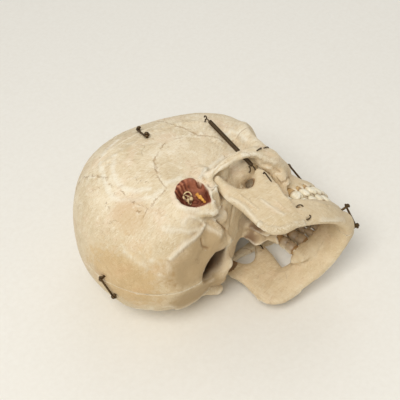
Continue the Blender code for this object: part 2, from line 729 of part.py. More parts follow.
def hook_points(pivot, catch, axis, along, across, level, way):
    """A hook's wire: an open eye round its pivot, a shank, a crook round the catch and a tip."""
    radius = PIN_SHAFT / 2 + CLEARANCE + WIRE / 2
    length = (catch - pivot).dot(along)
    flat = []
    for k in range(EYE_POINTS):
        turn = math.radians(90) + EYE_SWEEP * (1 - k / (EYE_POINTS - 1))
        flat.append((radius * math.cos(turn), radius * math.sin(turn)))
    for k in range(CROOK_POINTS):
        turn = math.radians(90) - CROOK_SWEEP * k / (CROOK_POINTS - 1)
        flat.append((length + radius * math.cos(turn), radius * math.sin(turn)))
    last = flat[-1]
    flat.append((last[0] + WIRE * TIP_FLARE_SHARE, last[1] - WIRE * TIP_LENGTH_SHARE))
    return [pivot + axis * level + along * x + across * (way * y) for x, y in flat]


def spring_points(start, end, lead_start, lead_end):
    """The centre line of a coil between two places, with straight leads at its ends."""
    axis = (end - start).normalized()
    across = axis.orthogonal().normalized()
    up = axis.cross(across)
    radius = (SPRING_OUTER - SPRING_WIRE) / 2
    coil = (end - start).length - lead_start - lead_end
    points = [start]
    steps = SPRING_TURNS * POINTS_PER_TURN
    for k in range(steps + 1):
        turn = 2 * math.pi * k / POINTS_PER_TURN
        ends = min(1.0, min(k, steps - k) / (POINTS_PER_TURN * LEAD_TURN_SHARE))
        out = radius * math.sin(ends * math.pi / 2)
        along = axis * (lead_start + coil * k / steps)
        points.append(start + along + across * (out * math.cos(turn)) + up * (out * math.sin(turn)))
    points.append(end)
    return points


def least_coil_gap(points):
    """The least gap between a coil's wire and itself, a half turn or more along."""
    skip = POINTS_PER_TURN // 2 + 1
    least = min(
        (points[i] - points[j]).length
        for i in range(len(points)) for j in range(i + skip, min(i + 2 * POINTS_PER_TURN, len(points)))
    )
    return least - SPRING_WIRE


def window_form():
    """The dissection of the right ear: an oval hollow that narrows inwards."""
    long_axis = AXES["x"] * math.cos(WINDOW_TURN) - AXES["z"] * math.sin(WINDOW_TURN)
    mouth = at(WINDOW_PLACE_SHARES)
    inward = AXES["y"]
    stations = [
        (mouth + inward * (WINDOW_DEPTH * deep), WINDOW_LENGTH / 2 * wide, WINDOW_HEIGHT / 2 * wide)
        for deep, wide in WINDOW_PROFILE_SHARES
    ]
    form = bmesh.new()
    add_bar(form, stations, long_axis, WINDOW_POINTS)
    return form


def ear_floor():
    return at(WINDOW_PLACE_SHARES) + AXES["y"] * WINDOW_DEPTH


def canal_form(grown=0.0):
    """The three rings of the inner ear, which start and end in their vestibule."""
    middle = ear_floor() + at(VESTIBULE_SHARES)
    form = bmesh.new()
    radius = VESTIBULE / 2 + grown
    add_mass(form, middle, Vector((radius, radius, radius)), 2)
    for out, side in CANAL_PLANE_SHARES:
        out, side = Vector(out).normalized(), Vector(side).normalized()
        side = (side - out * side.dot(out)).normalized()
        step = (math.pi - CANAL_START) * 2 / (CANAL_POINTS - 1)
        turns = [CANAL_START + step * k for k in range(CANAL_POINTS)]
        points = [
            middle + (out * (1 - math.cos(turn)) + side * math.sin(turn)) * CANAL_RING for turn in turns
        ]
        add_tube(form, points, CANAL_TUBE / 2 + grown)
    return form


def add_tube(form, points, radius, sides=PIN_SIDES):
    """A plain tube through points."""
    rings = []
    for i, place in enumerate(points):
        along = (points[min(i + 1, len(points) - 1)] - points[max(i - 1, 0)]).normalized()
        if i == 0:
            across = along.orthogonal().normalized()
        across = (across - along * across.dot(along)).normalized()
        rings.append(oval(place, across * radius, along.cross(across) * radius, sides))
    add_rings(form, rings)


def bone_tree(mesh):
    return BVHTree.FromPolygons([v.co for v in mesh.vertices], [p.vertices for p in mesh.polygons])


def set_origin(made, place):
    """Puts an object's origin at a place, with its shape where it was."""
    made.data.transform(Matrix.Translation(-place))
    made.location = place
    return made


def carve(bone, form, name, parent):
    """Cuts the hollow that a fitting sits in."""
    cut(bone, as_cutter(place_object(name, mesh_of(form, name), parent)))


def tube_form(points, radius):
    form = bmesh.new()
    add_tube(form, points, radius)
    return form


def wire_fitting(name, points, thickness, bone, parent, finish):
    """A bent wire with its seat cut in the bone that it passes through."""
    made = wire_object(name, points, thickness, parent)
    made.data.materials.append(finish)
    carve(bone, tube_form(points, thickness / 2 + CLEARANCE), name + "_seat", parent)
    return made


def add_latch(name, bones, trees, parent, finish):
    pivot_bone, pivot_guess, catch_bone, catch_guess, way = LATCHES[name]
    pivot_seat = seat_on(trees[pivot_bone], pivot_guess)
    catch_seat = seat_on(trees[catch_bone], catch_guess)
    pivot, catch = pivot_seat[0], catch_seat[0]
    used = (trees[pivot_bone], trees[catch_bone])
    axis, along, across, level = latch_frame(pivot_seat, catch_seat, used)
    for role, place, bone in (("pivot_pin", pivot, pivot_bone), ("catch_pin", catch, catch_bone)):
        rise = level - (place - pivot).dot(axis) + WIRE / 2 + CLEARANCE
        label = f"{name}_{role}"
        pin = place_object(label, mesh_of(pin_form(place, axis, rise), label), parent)
        pin.data.materials.append(finish)
        set_origin(pin, place)
        carve(bones[bone], pin_form(place, axis, rise, CLEARANCE), label + "_hole", parent)
    points = hook_points(pivot, catch, axis, along, across, level, way)
    hook = wire_object(name + "_hook", [point - pivot for point in points], WIRE, parent)
    hook.location = pivot
    hook.data.materials.append(finish)
    return name + "_hook", pivot, axis


def add_spring(side, bones, trees, parent, finish):
    """A jaw spring with its eye on the temple and its wire through the jaw; side is -1 or 1."""
    side_name = "right" if side < 0 else "left"
    skull = f"cranium_{side_name}_half"
    anchor, pull, *bends = (
        shares if side < 0 else other_side(shares)
        for shares in (SPRING_ANCHOR_SHARES, SPRING_PULL_SHARES, *JAW_WIRE_SHARES)
    )
    seat, out = seat_on(trees[skull], anchor)
    pull = at(pull)
    middle = seat + out * ANCHOR_STANDOFF
    along = (pull - middle).normalized()
    along = (along - out * along.dot(out)).normalized()
    ring = ANCHOR_EYE / 2
    points = [seat - out * PIN_DEPTH, seat]
    for k in range(ANCHOR_POINTS):
        turn = ANCHOR_START + ANCHOR_SWEEP * k / (ANCHOR_POINTS - 1)
        points.append(middle + along * (ring * math.cos(turn)) + out * (ring * math.sin(turn)))
    wire_fitting(f"{side_name}_spring_anchor", points, ANCHOR_WIRE, bones[skull], parent, finish)
    start = middle + along * (ring + ANCHOR_WIRE / 2 + CLEARANCE)
    coil = spring_points(start, pull, SPRING_END, SPRING_END)
    spring = wire_object(f"{side_name}_jaw_spring", coil, SPRING_WIRE, parent)
    spring.data.materials.append(finish)
    print("least gap in", spring.name, round(least_coil_gap(coil), 6))
    below = (pull - start).normalized()
    wire = [pull + below * CLEARANCE, pull + below * (CLEARANCE + JAW_WIRE)]
    wire += [at(shares) for shares in bends]
    jaw = bones[f"mandible_{side_name}_half"]
    wire_fitting(f"{side_name}_jaw_wire", wire, JAW_WIRE, jaw, parent, finish)


def staple_points(tree, guess_shares, direction):
    seat, out = seat_on(tree, guess_shares)
    along = (direction - out * direction.dot(out)).normalized() * (STAPLE_LENGTH / 2)
    over = out * (STAPLE_WIRE / 2 + CLEARANCE)
    return [
        seat - along - out * STAPLE_DEPTH, seat - along, seat - along * STAPLE_BEND_SHARE + over,
        seat + along * STAPLE_BEND_SHARE + over, seat + along, seat + along - out * STAPLE_DEPTH,
    ]


def plate_form(outline, low, high):
    """A flat plate across the median plane, from an outline of places."""
    form = bmesh.new()
    add_rings(form, [[Vector((p.x, level, p.z)) for p in outline] for level in (low, high)])
    return form


def grown_outline(outline, by):
    """An outline in the median plane, moved outwards; it runs against the clock seen from the left."""
    grown = []
    for i, here in enumerate(outline):
        way_in = (here - outline[i - 1]).normalized()
        way_out = (outline[(i + 1) % len(outline)] - here).normalized()
        along = (way_in + way_out).normalized()
        grown.append(here + Vector((along.z, 0, -along.x)) * by)
    return grown


def root_window_form():
    """The strip of outer bone that is cut away to show the roots of the right upper teeth."""
    (centre, reach), half_width, _ = UPPER_ROW_SHARES
    first, last, spread, level, thin, tall = ROOT_WINDOW_SHARES
    row = ((centre, reach + spread), half_width + spread, None)
    stations = []
    for k in range(RIDGE_STATIONS):
        place, _ = row_point(row, first + (last - first) * k / (RIDGE_STATIONS - 1))
        stations.append((
            Vector((place.x, place.y, at((0, 0, level)).z)), at((0, thin, 0)).y, at((0, 0, tall)).z
        ))
    form = bmesh.new()
    add_bar(form, stations, AXES["x"] - AXES["y"] * RIDGE_SKEW_SHARE, 12)
    return form


def main():
    for existing in list(bpy.data.objects):
        bpy.data.objects.remove(existing)
    bone = material("aged_bone", (0.73, 0.60, 0.40), 0.55)
    thin_bone = material("thin_bone", (0.70, 0.55, 0.36), 0.6)
    enamel = material("tooth", (0.85, 0.75, 0.55), 0.3)
    brass = material("dark_brass", (0.12, 0.09, 0.05), 0.45, 1.0)
    steel = material("dark_steel", (0.13, 0.10, 0.07), 0.4, 1.0)
    painted = material("painted_canals", (0.75, 0.66, 0.48), 0.5)
    nerve_paint = material("yellow_nerve", (0.85, 0.45, 0.08), 0.5)

    lying = place_object("lying_pose", None)
    lying.matrix_world = Matrix.Rotation(-PITCH, 4, "Y") @ Matrix.Rotation(ROLL - math.pi / 2, 4, "X")
    bpy.context.view_layer.update()

    cranium = cranium_mesh()
    jaw = jaw_mesh()
    left_jaw = mirrored_mesh(jaw, "jaw_left")
    trees = dict.fromkeys(("calvarium", "cranium_right_half", "cranium_left_half"), bone_tree(cranium))
    trees["mandible_right_half"] = bone_tree(jaw)
    trees["mandible_left_half"] = bone_tree(left_jaw)

    reach = at((LENGTH_PARTS, BREADTH_PARTS, HEIGHT_PARTS))
    saw = at((0, 0, SAW_LEVEL_SHARE)).z
    half_gap = SAW_GAP / 2
    above = region("above_saw", Vector((-reach.x, -reach.y, saw + half_gap)), reach, lying)
    right = region("right_of_saw", -reach, Vector((reach.x, -half_gap, saw - half_gap)), lying)
    left = region(
        "left_of_saw", Vector((-reach.x, half_gap, -reach.z)),
        Vector((reach.x, reach.y, saw - half_gap)), lying,
    )
    bones = {}
    for name, mesh, part_of in (
        ("calvarium", cranium, above),
        ("cranium_right_half", cranium, right),
        ("cranium_left_half", cranium, left),
        ("mandible_right_half", jaw, right),
        ("mandible_left_half", left_jaw, left),
    ):
        bones[name] = place_object(name, mesh.copy(), lying)
        bones[name].data.materials.append(bone)
        cut(bones[name], part_of, "INTERSECT")
    condyle, condyle_radii = at(CONDYLE_SHARES[0]), at(CONDYLE_SHARES[1])
    for side_name, side in (("right", -1), ("left", 1)):
        set_origin(bones[f"mandible_{side_name}_half"], Vector((condyle.x, 0, condyle.z)))
        fossa = bmesh.new()
        centre = Vector((condyle.x, -side * condyle.y, condyle.z))
        spread = Vector((JAW_JOINT_GAP, JAW_JOINT_GAP, JAW_JOINT_GAP))
        add_mass(fossa, centre, condyle_radii + spread, 2)
        add_table_bars(fossa, FOSSA_BAR_SHARES, (side,))
        fossa_skin = fused_bone(fossa, None, f"{side_name}_fossa", JAW_GRID, FOSSA_FACET_SHARE)
        fossa_cutter = as_cutter(place_object(f"{side_name}_fossa", fossa_skin, lying))
        cut(bones[f"cranium_{side_name}_half"], fossa_cutter)

    for jaw_name, holder in (("upper", "cranium"), ("lower", "mandible")):
        for side, side_name in ((-1, "right"), (1, "left")):
            for name, mesh, socket, place in tooth_row(jaw_name, side):
                tooth = set_origin(place_object(name, mesh, lying), place)
                tooth.data.materials.append(enamel)
                cut(
                    bones[f"{holder}_{side_name}_half"],
                    as_cutter(place_object(name + "_socket", socket, lying)),
                )
    carve(bones["cranium_right_half"], root_window_form(), "root_window", lying)

    joints = [add_latch(name, bones, trees, lying, brass) for name in LATCHES]
    joints += [
        ("jaw_opening", Vector((condyle.x, 0, condyle.z)), AXES["y"]),
        ("calvarium_lift", at((0, 0, SAW_LEVEL_SHARE)), AXES["z"]),
        ("halves_apart", Vector(), -AXES["y"]),
    ]
    for side in (-1, 1):
        add_spring(side, bones, trees, lying, steel)
    for name, guess in CHEEK_STAPLE_SHARES.items():
        points = staple_points(trees["cranium_right_half"], guess, AXES["x"])
        wire_fitting(name, points, STAPLE_WIRE, bones["cranium_right_half"], lying, brass)

    ear_bone = bones["cranium_right_half"]
    carve(ear_bone, window_form(), "ear_window", lying)
    canals = fused_bone(canal_form(), None, "canals", EAR_GRID, EAR_FACET_SHARE)
    canal_seat = fused_bone(canal_form(2 * CLEARANCE), None, "canal_seat", EAR_GRID, EAR_FACET_SHARE)
    place_object("inner_ear_canals", canals, lying).data.materials.append(painted)
    cut(ear_bone, as_cutter(place_object("canal_seat", canal_seat, lying)))
    nerve = [ear_floor() + at(share) for share in NERVE_SHARES]
    wire_fitting("facial_nerve", nerve, NERVE_TUBE, ear_bone, lying, nerve_paint)

    outline = [at((x, 0, z)) for x, z in SEPTUM_OUTLINE_SHARES]
    inner_face = half_gap + CLEARANCE
    outer_face = inner_face + SEPTUM_THICKNESS
    septum_mesh = mesh_of(plate_form(outline, inner_face, outer_face), "nasal_septum")
    septum = place_object("nasal_septum", septum_mesh, lying)
    septum.data.materials.append(thin_bone)
    slot = plate_form(grown_outline(outline, CLEARANCE), -OVERRUN, outer_face + CLEARANCE)
    carve(bones["cranium_left_half"], slot, "septum_slot", lying)

    rest_on_floor(lying, bones)
    for made in bones.values():
        keep_whole(made)
    for name, place, axis in joints:
        report_joint(name, place, axis, lying)


def report_joint(name, place, axis, parent):
    """Prints a joint's place and axis as they lie in the finished part."""
    world = parent.matrix_world
    origin = world @ place
    way = world.to_3x3() @ axis
    print("joint", name, *[round(c, 6) for c in origin], *[round(c, 6) for c in way])


def rest_on_floor(lying, bones):
    """Centres the skull and lowers it until its lowest side is cut flat by what it lies on."""
    bpy.context.view_layer.update()
    graph = bpy.context.evaluated_depsgraph_get()
    places = []
    for made in bpy.context.scene.objects:
        if made.parent == lying and not made.hide_render:
            shown = made.evaluated_get(graph)
            places += [made.matrix_world @ corner.co for corner in shown.to_mesh().vertices]
            shown.to_mesh_clear()
    low = Vector(min(place[i] for place in places) for i in range(3))
    high = Vector(max(place[i] for place in places) for i in range(3))
    middle = (low + high) / 2
    lying.location = Vector((-middle.x, -middle.y, -low.z - REST_FLAT))
    floor = region(
        "floor", Vector((-CRANIUM_LENGTH, -CRANIUM_LENGTH, -CRANIUM_HEIGHT)),
        Vector((CRANIUM_LENGTH, CRANIUM_LENGTH, 0)), None
    )
    cut(bones["cranium_left_half"], floor)


main()
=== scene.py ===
import json
import math
from collections import namedtuple

import bmesh
import bpy
import numpy as np
from mathutils import Matrix, Vector
from mathutils.bvhtree import BVHTree

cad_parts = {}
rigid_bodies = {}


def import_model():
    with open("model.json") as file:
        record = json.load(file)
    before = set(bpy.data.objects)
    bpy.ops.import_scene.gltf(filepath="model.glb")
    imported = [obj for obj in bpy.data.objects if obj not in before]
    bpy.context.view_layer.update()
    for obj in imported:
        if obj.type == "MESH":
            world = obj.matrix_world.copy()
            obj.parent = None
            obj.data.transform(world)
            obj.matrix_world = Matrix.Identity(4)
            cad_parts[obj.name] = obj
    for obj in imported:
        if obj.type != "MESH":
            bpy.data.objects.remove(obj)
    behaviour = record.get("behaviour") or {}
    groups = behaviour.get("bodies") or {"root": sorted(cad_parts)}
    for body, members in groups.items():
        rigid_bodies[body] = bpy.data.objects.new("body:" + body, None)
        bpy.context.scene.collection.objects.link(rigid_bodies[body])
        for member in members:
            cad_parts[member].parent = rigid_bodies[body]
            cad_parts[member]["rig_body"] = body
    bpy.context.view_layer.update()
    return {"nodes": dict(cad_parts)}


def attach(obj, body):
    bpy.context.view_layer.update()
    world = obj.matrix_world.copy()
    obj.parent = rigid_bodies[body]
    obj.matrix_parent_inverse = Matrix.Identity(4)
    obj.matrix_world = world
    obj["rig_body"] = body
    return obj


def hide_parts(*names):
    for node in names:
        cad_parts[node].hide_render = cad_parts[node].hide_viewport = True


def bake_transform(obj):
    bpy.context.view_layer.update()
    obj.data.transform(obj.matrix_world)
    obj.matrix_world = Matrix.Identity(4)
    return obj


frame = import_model()

# The skull lies on its left side. These are its own directions and the middle of its ears in the row frame.
MM = 0.001
FORWARD = Vector((0.999986, 0.0, 0.005236))
LEFT = Vector((0.005234, 0.029666, -0.999546))
CROWN = Vector((-0.000155, 0.99956, 0.029666))
EARS = Vector((-0.004181, -0.013857, 0.064059))
TURN = Matrix((FORWARD, LEFT, CROWN)).transposed()

# The dissected ear's hollow: its middle forward and up, its lean and its two radii.
EAR_HOLLOW = (-12.3, -6.0)
EAR_LEAN = math.radians(33)
EAR_RADII = (14.5, 12.5)

# Where the two saw cuts run, in millimetres of the skull's own directions.
CAP_CUT_LOW = 75.84
CAP_CUT_HIGH = 76.16
MIDDLE_CUT = 0.2

# The jaw springs, in millimetres: each starts at its jaw end, and its leads are the straight ends.
SPRING_WIRE = 0.95
SPRING_OUTER = 3.7
SPRING_LEADS = (0.6, 2.6)
SPRING_TURNS = 58
SPRING_STEPS = 12
SPRING_ENDS = {
    "right": ((42.42, -25.49, 112.53), (50.16, 34.81, 120.93)),
    "left": ((42.93, -22.61, 15.46), (50.72, 38.07, 10.77)),
}


def spot(x, y, z):
    """A place in the row frame, from millimetres forward, left and up of the ears."""
    return EARS + TURN @ (Vector((x, y, z)) * MM)


def skull_places(points):
    """Rows of row-frame points as millimetres in the skull's own directions."""
    return (points - np.array(EARS)) @ np.array(TURN) / MM


# The finishes

def paint(red, green, blue):
    """A display colour as Blender's linear one."""
    values = [c / 255 for c in (red, green, blue)]
    return tuple(c / 12.92 if c <= 0.04045 else ((c + 0.055) / 1.055) ** 2.4 for c in values) + (1.0,)


class Value:
    """A number that changes over a surface. Arithmetic on it adds Math nodes."""

    def __init__(self, finish, socket):
        self.finish = finish
        self.socket = socket

    def _maths(self, operation, *values):
        return self.finish.node("ShaderNodeMath", {"operation": operation}, dict(enumerate(values)))

    def __add__(self, other):
        return self._maths("ADD", self, other)

    def __sub__(self, other):
        return self._maths("SUBTRACT", self, other)

    def __rsub__(self, other):
        return self._maths("SUBTRACT", other, self)

    def __mul__(self, other):
        return self._maths("MULTIPLY", self, other)

    def __truediv__(self, other):
        return self._maths("DIVIDE", self, other)

    def __pow__(self, other):
        return self._maths("POWER", self, other)

    def __abs__(self):
        return self._maths("ABSOLUTE", self)

    __radd__ = __add__
    __rmul__ = __mul__

    def least(self, other):
        return self._maths("MINIMUM", self, other)

    def root(self):
        return self._maths("SQRT", self)

    def wave(self):
        return self._maths("SINE", self)

    def ease(self, low, high):
        """0 below low, 1 above high and a smooth step between them; low may be above high."""
        return self.finish.node(
            "ShaderNodeMapRange", {"interpolation_type": "SMOOTHSTEP"},
            {"Value": self, "From Min": low, "From Max": high},
        )


class Finish:
    """One procedural material, with its patterns laid out in millimetres of the skull."""

    def __init__(self, name, **settings):
        self.material = bpy.data.materials.new(name)
        self.material.use_nodes = True
        self.tree = self.material.node_tree
        self.shader = self.tree.nodes["Principled BSDF"]
        for socket, value in settings.items():
            self.shader.inputs[socket.replace("_", " ")].default_value = value
        place = self.node("ShaderNodeTexCoord", {}, {}, "Object")
        turn = TURN.transposed()
        self.place = self.node("ShaderNodeMapping", {}, {
            "Vector": place, "Scale": (1 / MM,) * 3,
            "Rotation": tuple(turn.to_euler()), "Location": tuple(turn @ EARS * (-1 / MM)),
        })
        parts = [self.node("ShaderNodeSeparateXYZ", {}, {"Vector": self.place}, axis) for axis in "XYZ"]
        self.x, self.y, self.z = parts

    def node(self, kind, settings, sockets, output=0):
        made = self.tree.nodes.new(kind)
        for name, value in settings.items():
            if name == "stops":
                ramp = made.color_ramp
                while len(ramp.elements) < len(value):
                    ramp.elements.new(1.0)
                for element, (at, colour) in zip(ramp.elements, value):
                    element.position = at
                    element.color = colour
            else:
                setattr(made, name, value)
        for name, value in sockets.items():
            if isinstance(value, Value):
                self.tree.links.new(value.socket, made.inputs[name])
            else:
                made.inputs[name].default_value = value
        return Value(self, made.outputs[output])

    def noise(self, size, detail=3.0, rough=0.55, twist=0.0, at=None):
        """Cloudy noise from 0 to 1 with lumps of about size millimetres."""
        return self.node("ShaderNodeTexNoise", {}, {
            "Vector": at or self.place, "Scale": 1 / size,
            "Detail": detail, "Roughness": rough, "Distortion": twist,
        })

    def cells(self, size):
        """Distance to the middle of the nearest cell of about size millimetres."""
        return self.node("ShaderNodeTexVoronoi", {}, {"Vector": self.place, "Scale": 1 / size}, "Distance")

    def stretched(self, scale, spin=(0, 0, 0)):
        """The skull's place, turned and stretched for a pattern that runs one way."""
        return self.node("ShaderNodeMapping", {}, {"Vector": self.place, "Scale": scale, "Rotation": spin})

    def wobbled(self, size, amount):
        """The skull's place pushed about by noise, so that straight lines wander."""
        sockets = {"Vector": self.place, "Scale": 1 / size, "Detail": 3.0}
        push = self.node("ShaderNodeTexNoise", {}, sockets, "Color")
        push = self.node("ShaderNodeVectorMath", {"operation": "SUBTRACT"}, {0: push, 1: (0.5, 0.5, 0.5)})
        push = self.node("ShaderNodeVectorMath", {"operation": "SCALE"}, {0: push, "Scale": amount})
        return self.node("ShaderNodeVectorMath", {"operation": "ADD"}, {0: self.place, 1: push})

    def far(self, centre):
        """Distance in millimetres from a place of the skull."""
        settings = {"operation": "DISTANCE"}
        return self.node("ShaderNodeVectorMath", settings, {0: self.place, 1: centre}, "Value")

    def mix(self, share, first, second, blend="MIX"):
        settings = {"data_type": "RGBA", "blend_type": blend}
        return self.node("ShaderNodeMix", settings, {0: share, 6: first, 7: second}, 2)

    def ramp(self, share, *stops):
        return self.node("ShaderNodeValToRGB", {"stops": stops}, {"Fac": share})

    def kept(self, name):
        """A number kept on the piece's own points, nought where it has none."""
        return self.node("ShaderNodeAttribute", {"attribute_name": name}, {}, "Fac")

    def curvature_share(self, low, high):
        """0 in hollows and 1 on edges."""
        return self.node("ShaderNodeNewGeometry", {}, {}, "Pointiness").ease(low, high)

    def finish(self, colour, rough=None, height=None, depth=MM, metal=None, coat=None):
        """Links the patterns to the shader; height is in units of depth."""
        links = {"Base Color": colour, "Roughness": rough, "Metallic": metal, "Coat Weight": coat}
        for name, value in links.items():
            if value is not None:
                self.tree.links.new(value.socket, self.shader.inputs[name])
        if height is not None:
            bump = self.node("ShaderNodeBump", {}, {"Height": height, "Distance": depth, "Strength": 1.0})
            self.tree.links.new(bump.socket, self.shader.inputs["Normal"])
        return self.material


def sutures(f):
    """How far inside a suture a place is, from 0 to 1, and how near one: the skull bones' joints."""
    side = abs(f.y)
    shake = (f.noise(2.4, 5.0, 0.7) - 0.5) * 6.5 + (f.noise(9.0, 2.0) - 0.5) * 6.0
    coronal = abs(f.x - 23.0 + (f.z - 115.0) * 0.17 + shake) + f.z.ease(40.0, 30.0) * 9.0
    sagittal = abs(f.y + shake) + f.z.ease(66.0, 60.0) * 9.0 + f.x.ease(21.0, 25.0) * 9.0
    lambdoid = abs(f.x - side * 0.42 + 75.5 + shake * 1.2) + f.z.ease(12.0, 4.0) * 9.0
    round_ear = ((f.x - 14.0) ** 2.0 + (f.z - 10.0) ** 2.0).root() - 38.5
    squamous = abs(round_ear + shake * 0.95) + side.ease(44.0, 38.0) * 9.0 + f.z.ease(12.0, 6.0) * 9.0
    behind_ear = abs(f.z - 9.0 - (f.x + 40.0) * 0.16 + shake * 0.8) + f.x.ease(-26.0, -22.0) * 9.0
    behind_ear = behind_ear + f.x.ease(-54.0, -60.0) * 9.0 + side.ease(44.0, 38.0) * 9.0
    cheek = abs(f.x + f.z * 0.5 - 40.0 + shake * 0.3) + side.ease(54.0, 50.0) * 9.0 + f.z.ease(0.0, 3.0) * 9.0
    brow = abs(f.z - 23.0 + shake * 0.3) + side.ease(41.0, 38.0) * 9.0 + f.x.ease(56.0, 52.0) * 9.0
    near = coronal
    for other in (sagittal, lambdoid, squamous, behind_ear, cheek, brow):
        near = near.least(other)
    broken = f.noise(7.0, 2.0).ease(0.36, 0.56)
    return near.ease(0.85, 0.10) * broken, near.ease(5.5, 0.5)


def streaks(f):
    """Fine fibres of the skull's side, which run out from the ear like a fan, from 0 to 1."""
    turn = f.node("ShaderNodeMath", {"operation": "ARCTAN2"}, {0: f.z - 4.0, 1: f.x - 8.0})
    away = ((f.z - 4.0) ** 2.0 + (f.x - 8.0) ** 2.0).root()
    push = f.noise(14.0, 2.0) * 1.6
    fan = f.node("ShaderNodeCombineXYZ", {}, {0: turn * 48.0 + push, 1: away * 0.13, 2: f.y * 0.13})
    return f.noise(1.0, 5.0, 0.66, 0.5, fan)


def bone_finish():
    """Old bone: mottled and scratched, with the drawn marks, the seams, the painted ear and painted shade in
    its hollows, clefts and braincase.
    """
    f = Finish("aged_bone", Specular_IOR_Level=0.35)
    broad = f.noise(30.0, 3.0, 0.5, 0.6)
    mottle = f.noise(5.5, 6.0, 0.66, 0.3)
    fine = f.noise(0.9, 4.0, 0.6)
    fibres = streaks(f)
    scratch = f.noise(1.0, 4.0, 0.6, 0.8, f.stretched((0.13, 1.2, 1.3), (0.3, 0.6, 0.2)))
    crossing = f.noise(1.0, 4.0, 0.6, 0.8, f.stretched((0.11, 1.3, 1.2), (0.2, -0.9, 0.5)))
    colour = f.ramp(
        broad, (0.30, paint(213, 194, 158)), (0.50, paint(225, 207, 173)), (0.68, paint(234, 218, 187)),
    )
    colour = f.mix(f.noise(17.0, 4.0).ease(0.52, 0.66) * 0.40, colour, paint(230, 203, 172))
    colour = f.mix(mottle.ease(0.50, 0.70) * 0.42, colour, paint(246, 237, 214))
    colour = f.mix(mottle.ease(0.47, 0.28) * 0.42, colour, paint(192, 163, 121))
    outside = abs(f.y).ease(34.0, 44.0)
    colour = f.mix(fibres.ease(0.52, 0.66) * (0.16 + outside * 0.26), colour, paint(246, 237, 214))
    colour = f.mix(fibres.ease(0.46, 0.33) * (0.12 + outside * 0.16), colour, paint(188, 158, 116))
    colour = f.mix(scratch.ease(0.57, 0.66) * 0.44, colour, paint(250, 244, 225))
    colour = f.mix(crossing.ease(0.58, 0.67) * 0.38, colour, paint(250, 244, 225))
    colour = f.mix(scratch.ease(0.41, 0.33) * 0.40, colour, paint(172, 138, 94))
    colour = f.mix(crossing.ease(0.39, 0.31) * 0.30, colour, paint(172, 138, 94))
    speck = f.cells(1.7).ease(0.16, 0.05) * f.noise(8.0, 3.0).ease(0.50, 0.62)
    colour = f.mix(speck * 0.36, colour, paint(140, 104, 64))

    # The marks that carve() keeps on the points
    shake = (mottle - 0.5) * 0.55 + (fine - 0.5) * 0.25
    broken = fibres.ease(0.38, 0.58) * 0.40 + 0.60
    chalk = (f.kept("chalk") + shake).ease(0.45, 0.95) * broken
    cleft = (f.kept("cleft") + shake * 0.3).ease(0.84, 0.98)
    nuchal_stain_and_shade = (f.kept("stain") + shake).ease(0.05, 0.60)
    rough = (f.kept("rough") + shake * 0.6).ease(0.35, 0.80)
    grains = f.noise(1.5, 5.0, 0.72, 1.2)
    # Brown stain and painted shade on the plane below the nuchal line
    colour = f.mix(nuchal_stain_and_shade * 0.80, colour, paint(142, 112, 70))
    colour = f.mix(chalk * 0.60, colour, paint(250, 243, 223))
    colour = f.mix(rough * grains.ease(0.46, 0.62) * 0.75, colour, paint(251, 243, 220))
    colour = f.mix(rough * grains.ease(0.46, 0.34) * 0.65, colour, paint(158, 118, 72))
    # Painted shade: the drawn clefts and holes are darkened where shade falls in them
    colour = f.mix(cleft * 0.70, colour, paint(112, 78, 46))

    # Stains of the base, of the occiput and behind the ear
    under = f.z.ease(4.0, -34.0) * (0.20 + broad * 0.4)
    colour = f.mix(under, colour, paint(206, 180, 136))
    patch = (mottle - 0.5) * 1.5 + (broad - 0.5) * 1.0
    # The ochre stain of the occiput
    stain = (1.0 - f.far((-88.0, -12.0, 0.0)) / 50.0 + patch).ease(0.05, 0.60)
    colour = f.mix(stain * 0.62, colour, paint(226, 200, 152), "MULTIPLY")
    grainy = (1.0 - f.far((-57.0, -55.0, 16.0)) / 20.0 + (mottle - 0.5) * 1.2).ease(0.0, 0.6)
    colour = f.mix(grainy * 0.40, colour, paint(198, 160, 108))
    colour = f.mix(grainy * speck * 0.8, colour, paint(120, 84, 48))

    # Seams, pits and hair cracks
    seam, by_seam = sutures(f)
    colour = f.mix(by_seam * mottle.ease(0.45, 0.62) * 0.40, colour, paint(247, 238, 214))
    colour = f.mix(by_seam * speck * 0.8, colour, paint(130, 94, 56))
    colour = f.mix(seam * 0.52, colour, paint(168, 128, 80))
    pits = f.cells(2.3).ease(0.17, 0.06) * f.noise(12.0, 2.0).ease(0.52, 0.66)
    colour = f.mix(pits * 0.45, colour, paint(120, 90, 56))
    crack = f.node("ShaderNodeTexVoronoi", {"feature": "DISTANCE_TO_EDGE"}, {
        "Vector": f.wobbled(9.0, 11.0), "Scale": 1 / 30.0,
    }, "Distance").ease(0.0065, 0.001) * f.noise(15.0, 2.0).ease(0.50, 0.62)
    colour = f.mix(crack * 0.40, colour, paint(140, 106, 66))

    # The inside of the braincase, painted shade in the hollows, and the edges paler from wear
    # The inside of the braincase: its own browner bone and painted shade, darkest lower down
    inner = f.kept("inner")
    colour = f.mix(inner * 0.70, colour, paint(150, 108, 68))
    colour = f.mix(inner * f.z.ease(-6.0, -22.0) * 0.5, colour, paint(84, 54, 34))
    # Painted shade: the hollows are darkened where shade falls in them
    hollow = f.curvature_share(0.500, 0.440)
    colour = f.mix(hollow * 0.50, colour, paint(140, 102, 62))
    edge = f.curvature_share(0.512, 0.555)
    colour = f.mix(edge * 0.55, colour, paint(249, 241, 220))
    colour, striae = ear_colour(f, colour, mottle)
    gloss = 0.56 + mottle * 0.20 - edge * 0.10 + seam * 0.15
    height = mottle * 0.16 + fine * 0.06 + fibres * (0.04 + outside * 0.08) + scratch * 0.10 + crossing * 0.06
    height = height - seam * 0.20 + by_seam * mottle * 0.14 - pits * 0.22 - crack * 0.14 - speck * 0.10
    height = height + chalk * fine * 0.30 - cleft * 0.20 + rough * grains * 0.60 + striae * 0.12
    return f.finish(colour, gloss, height)


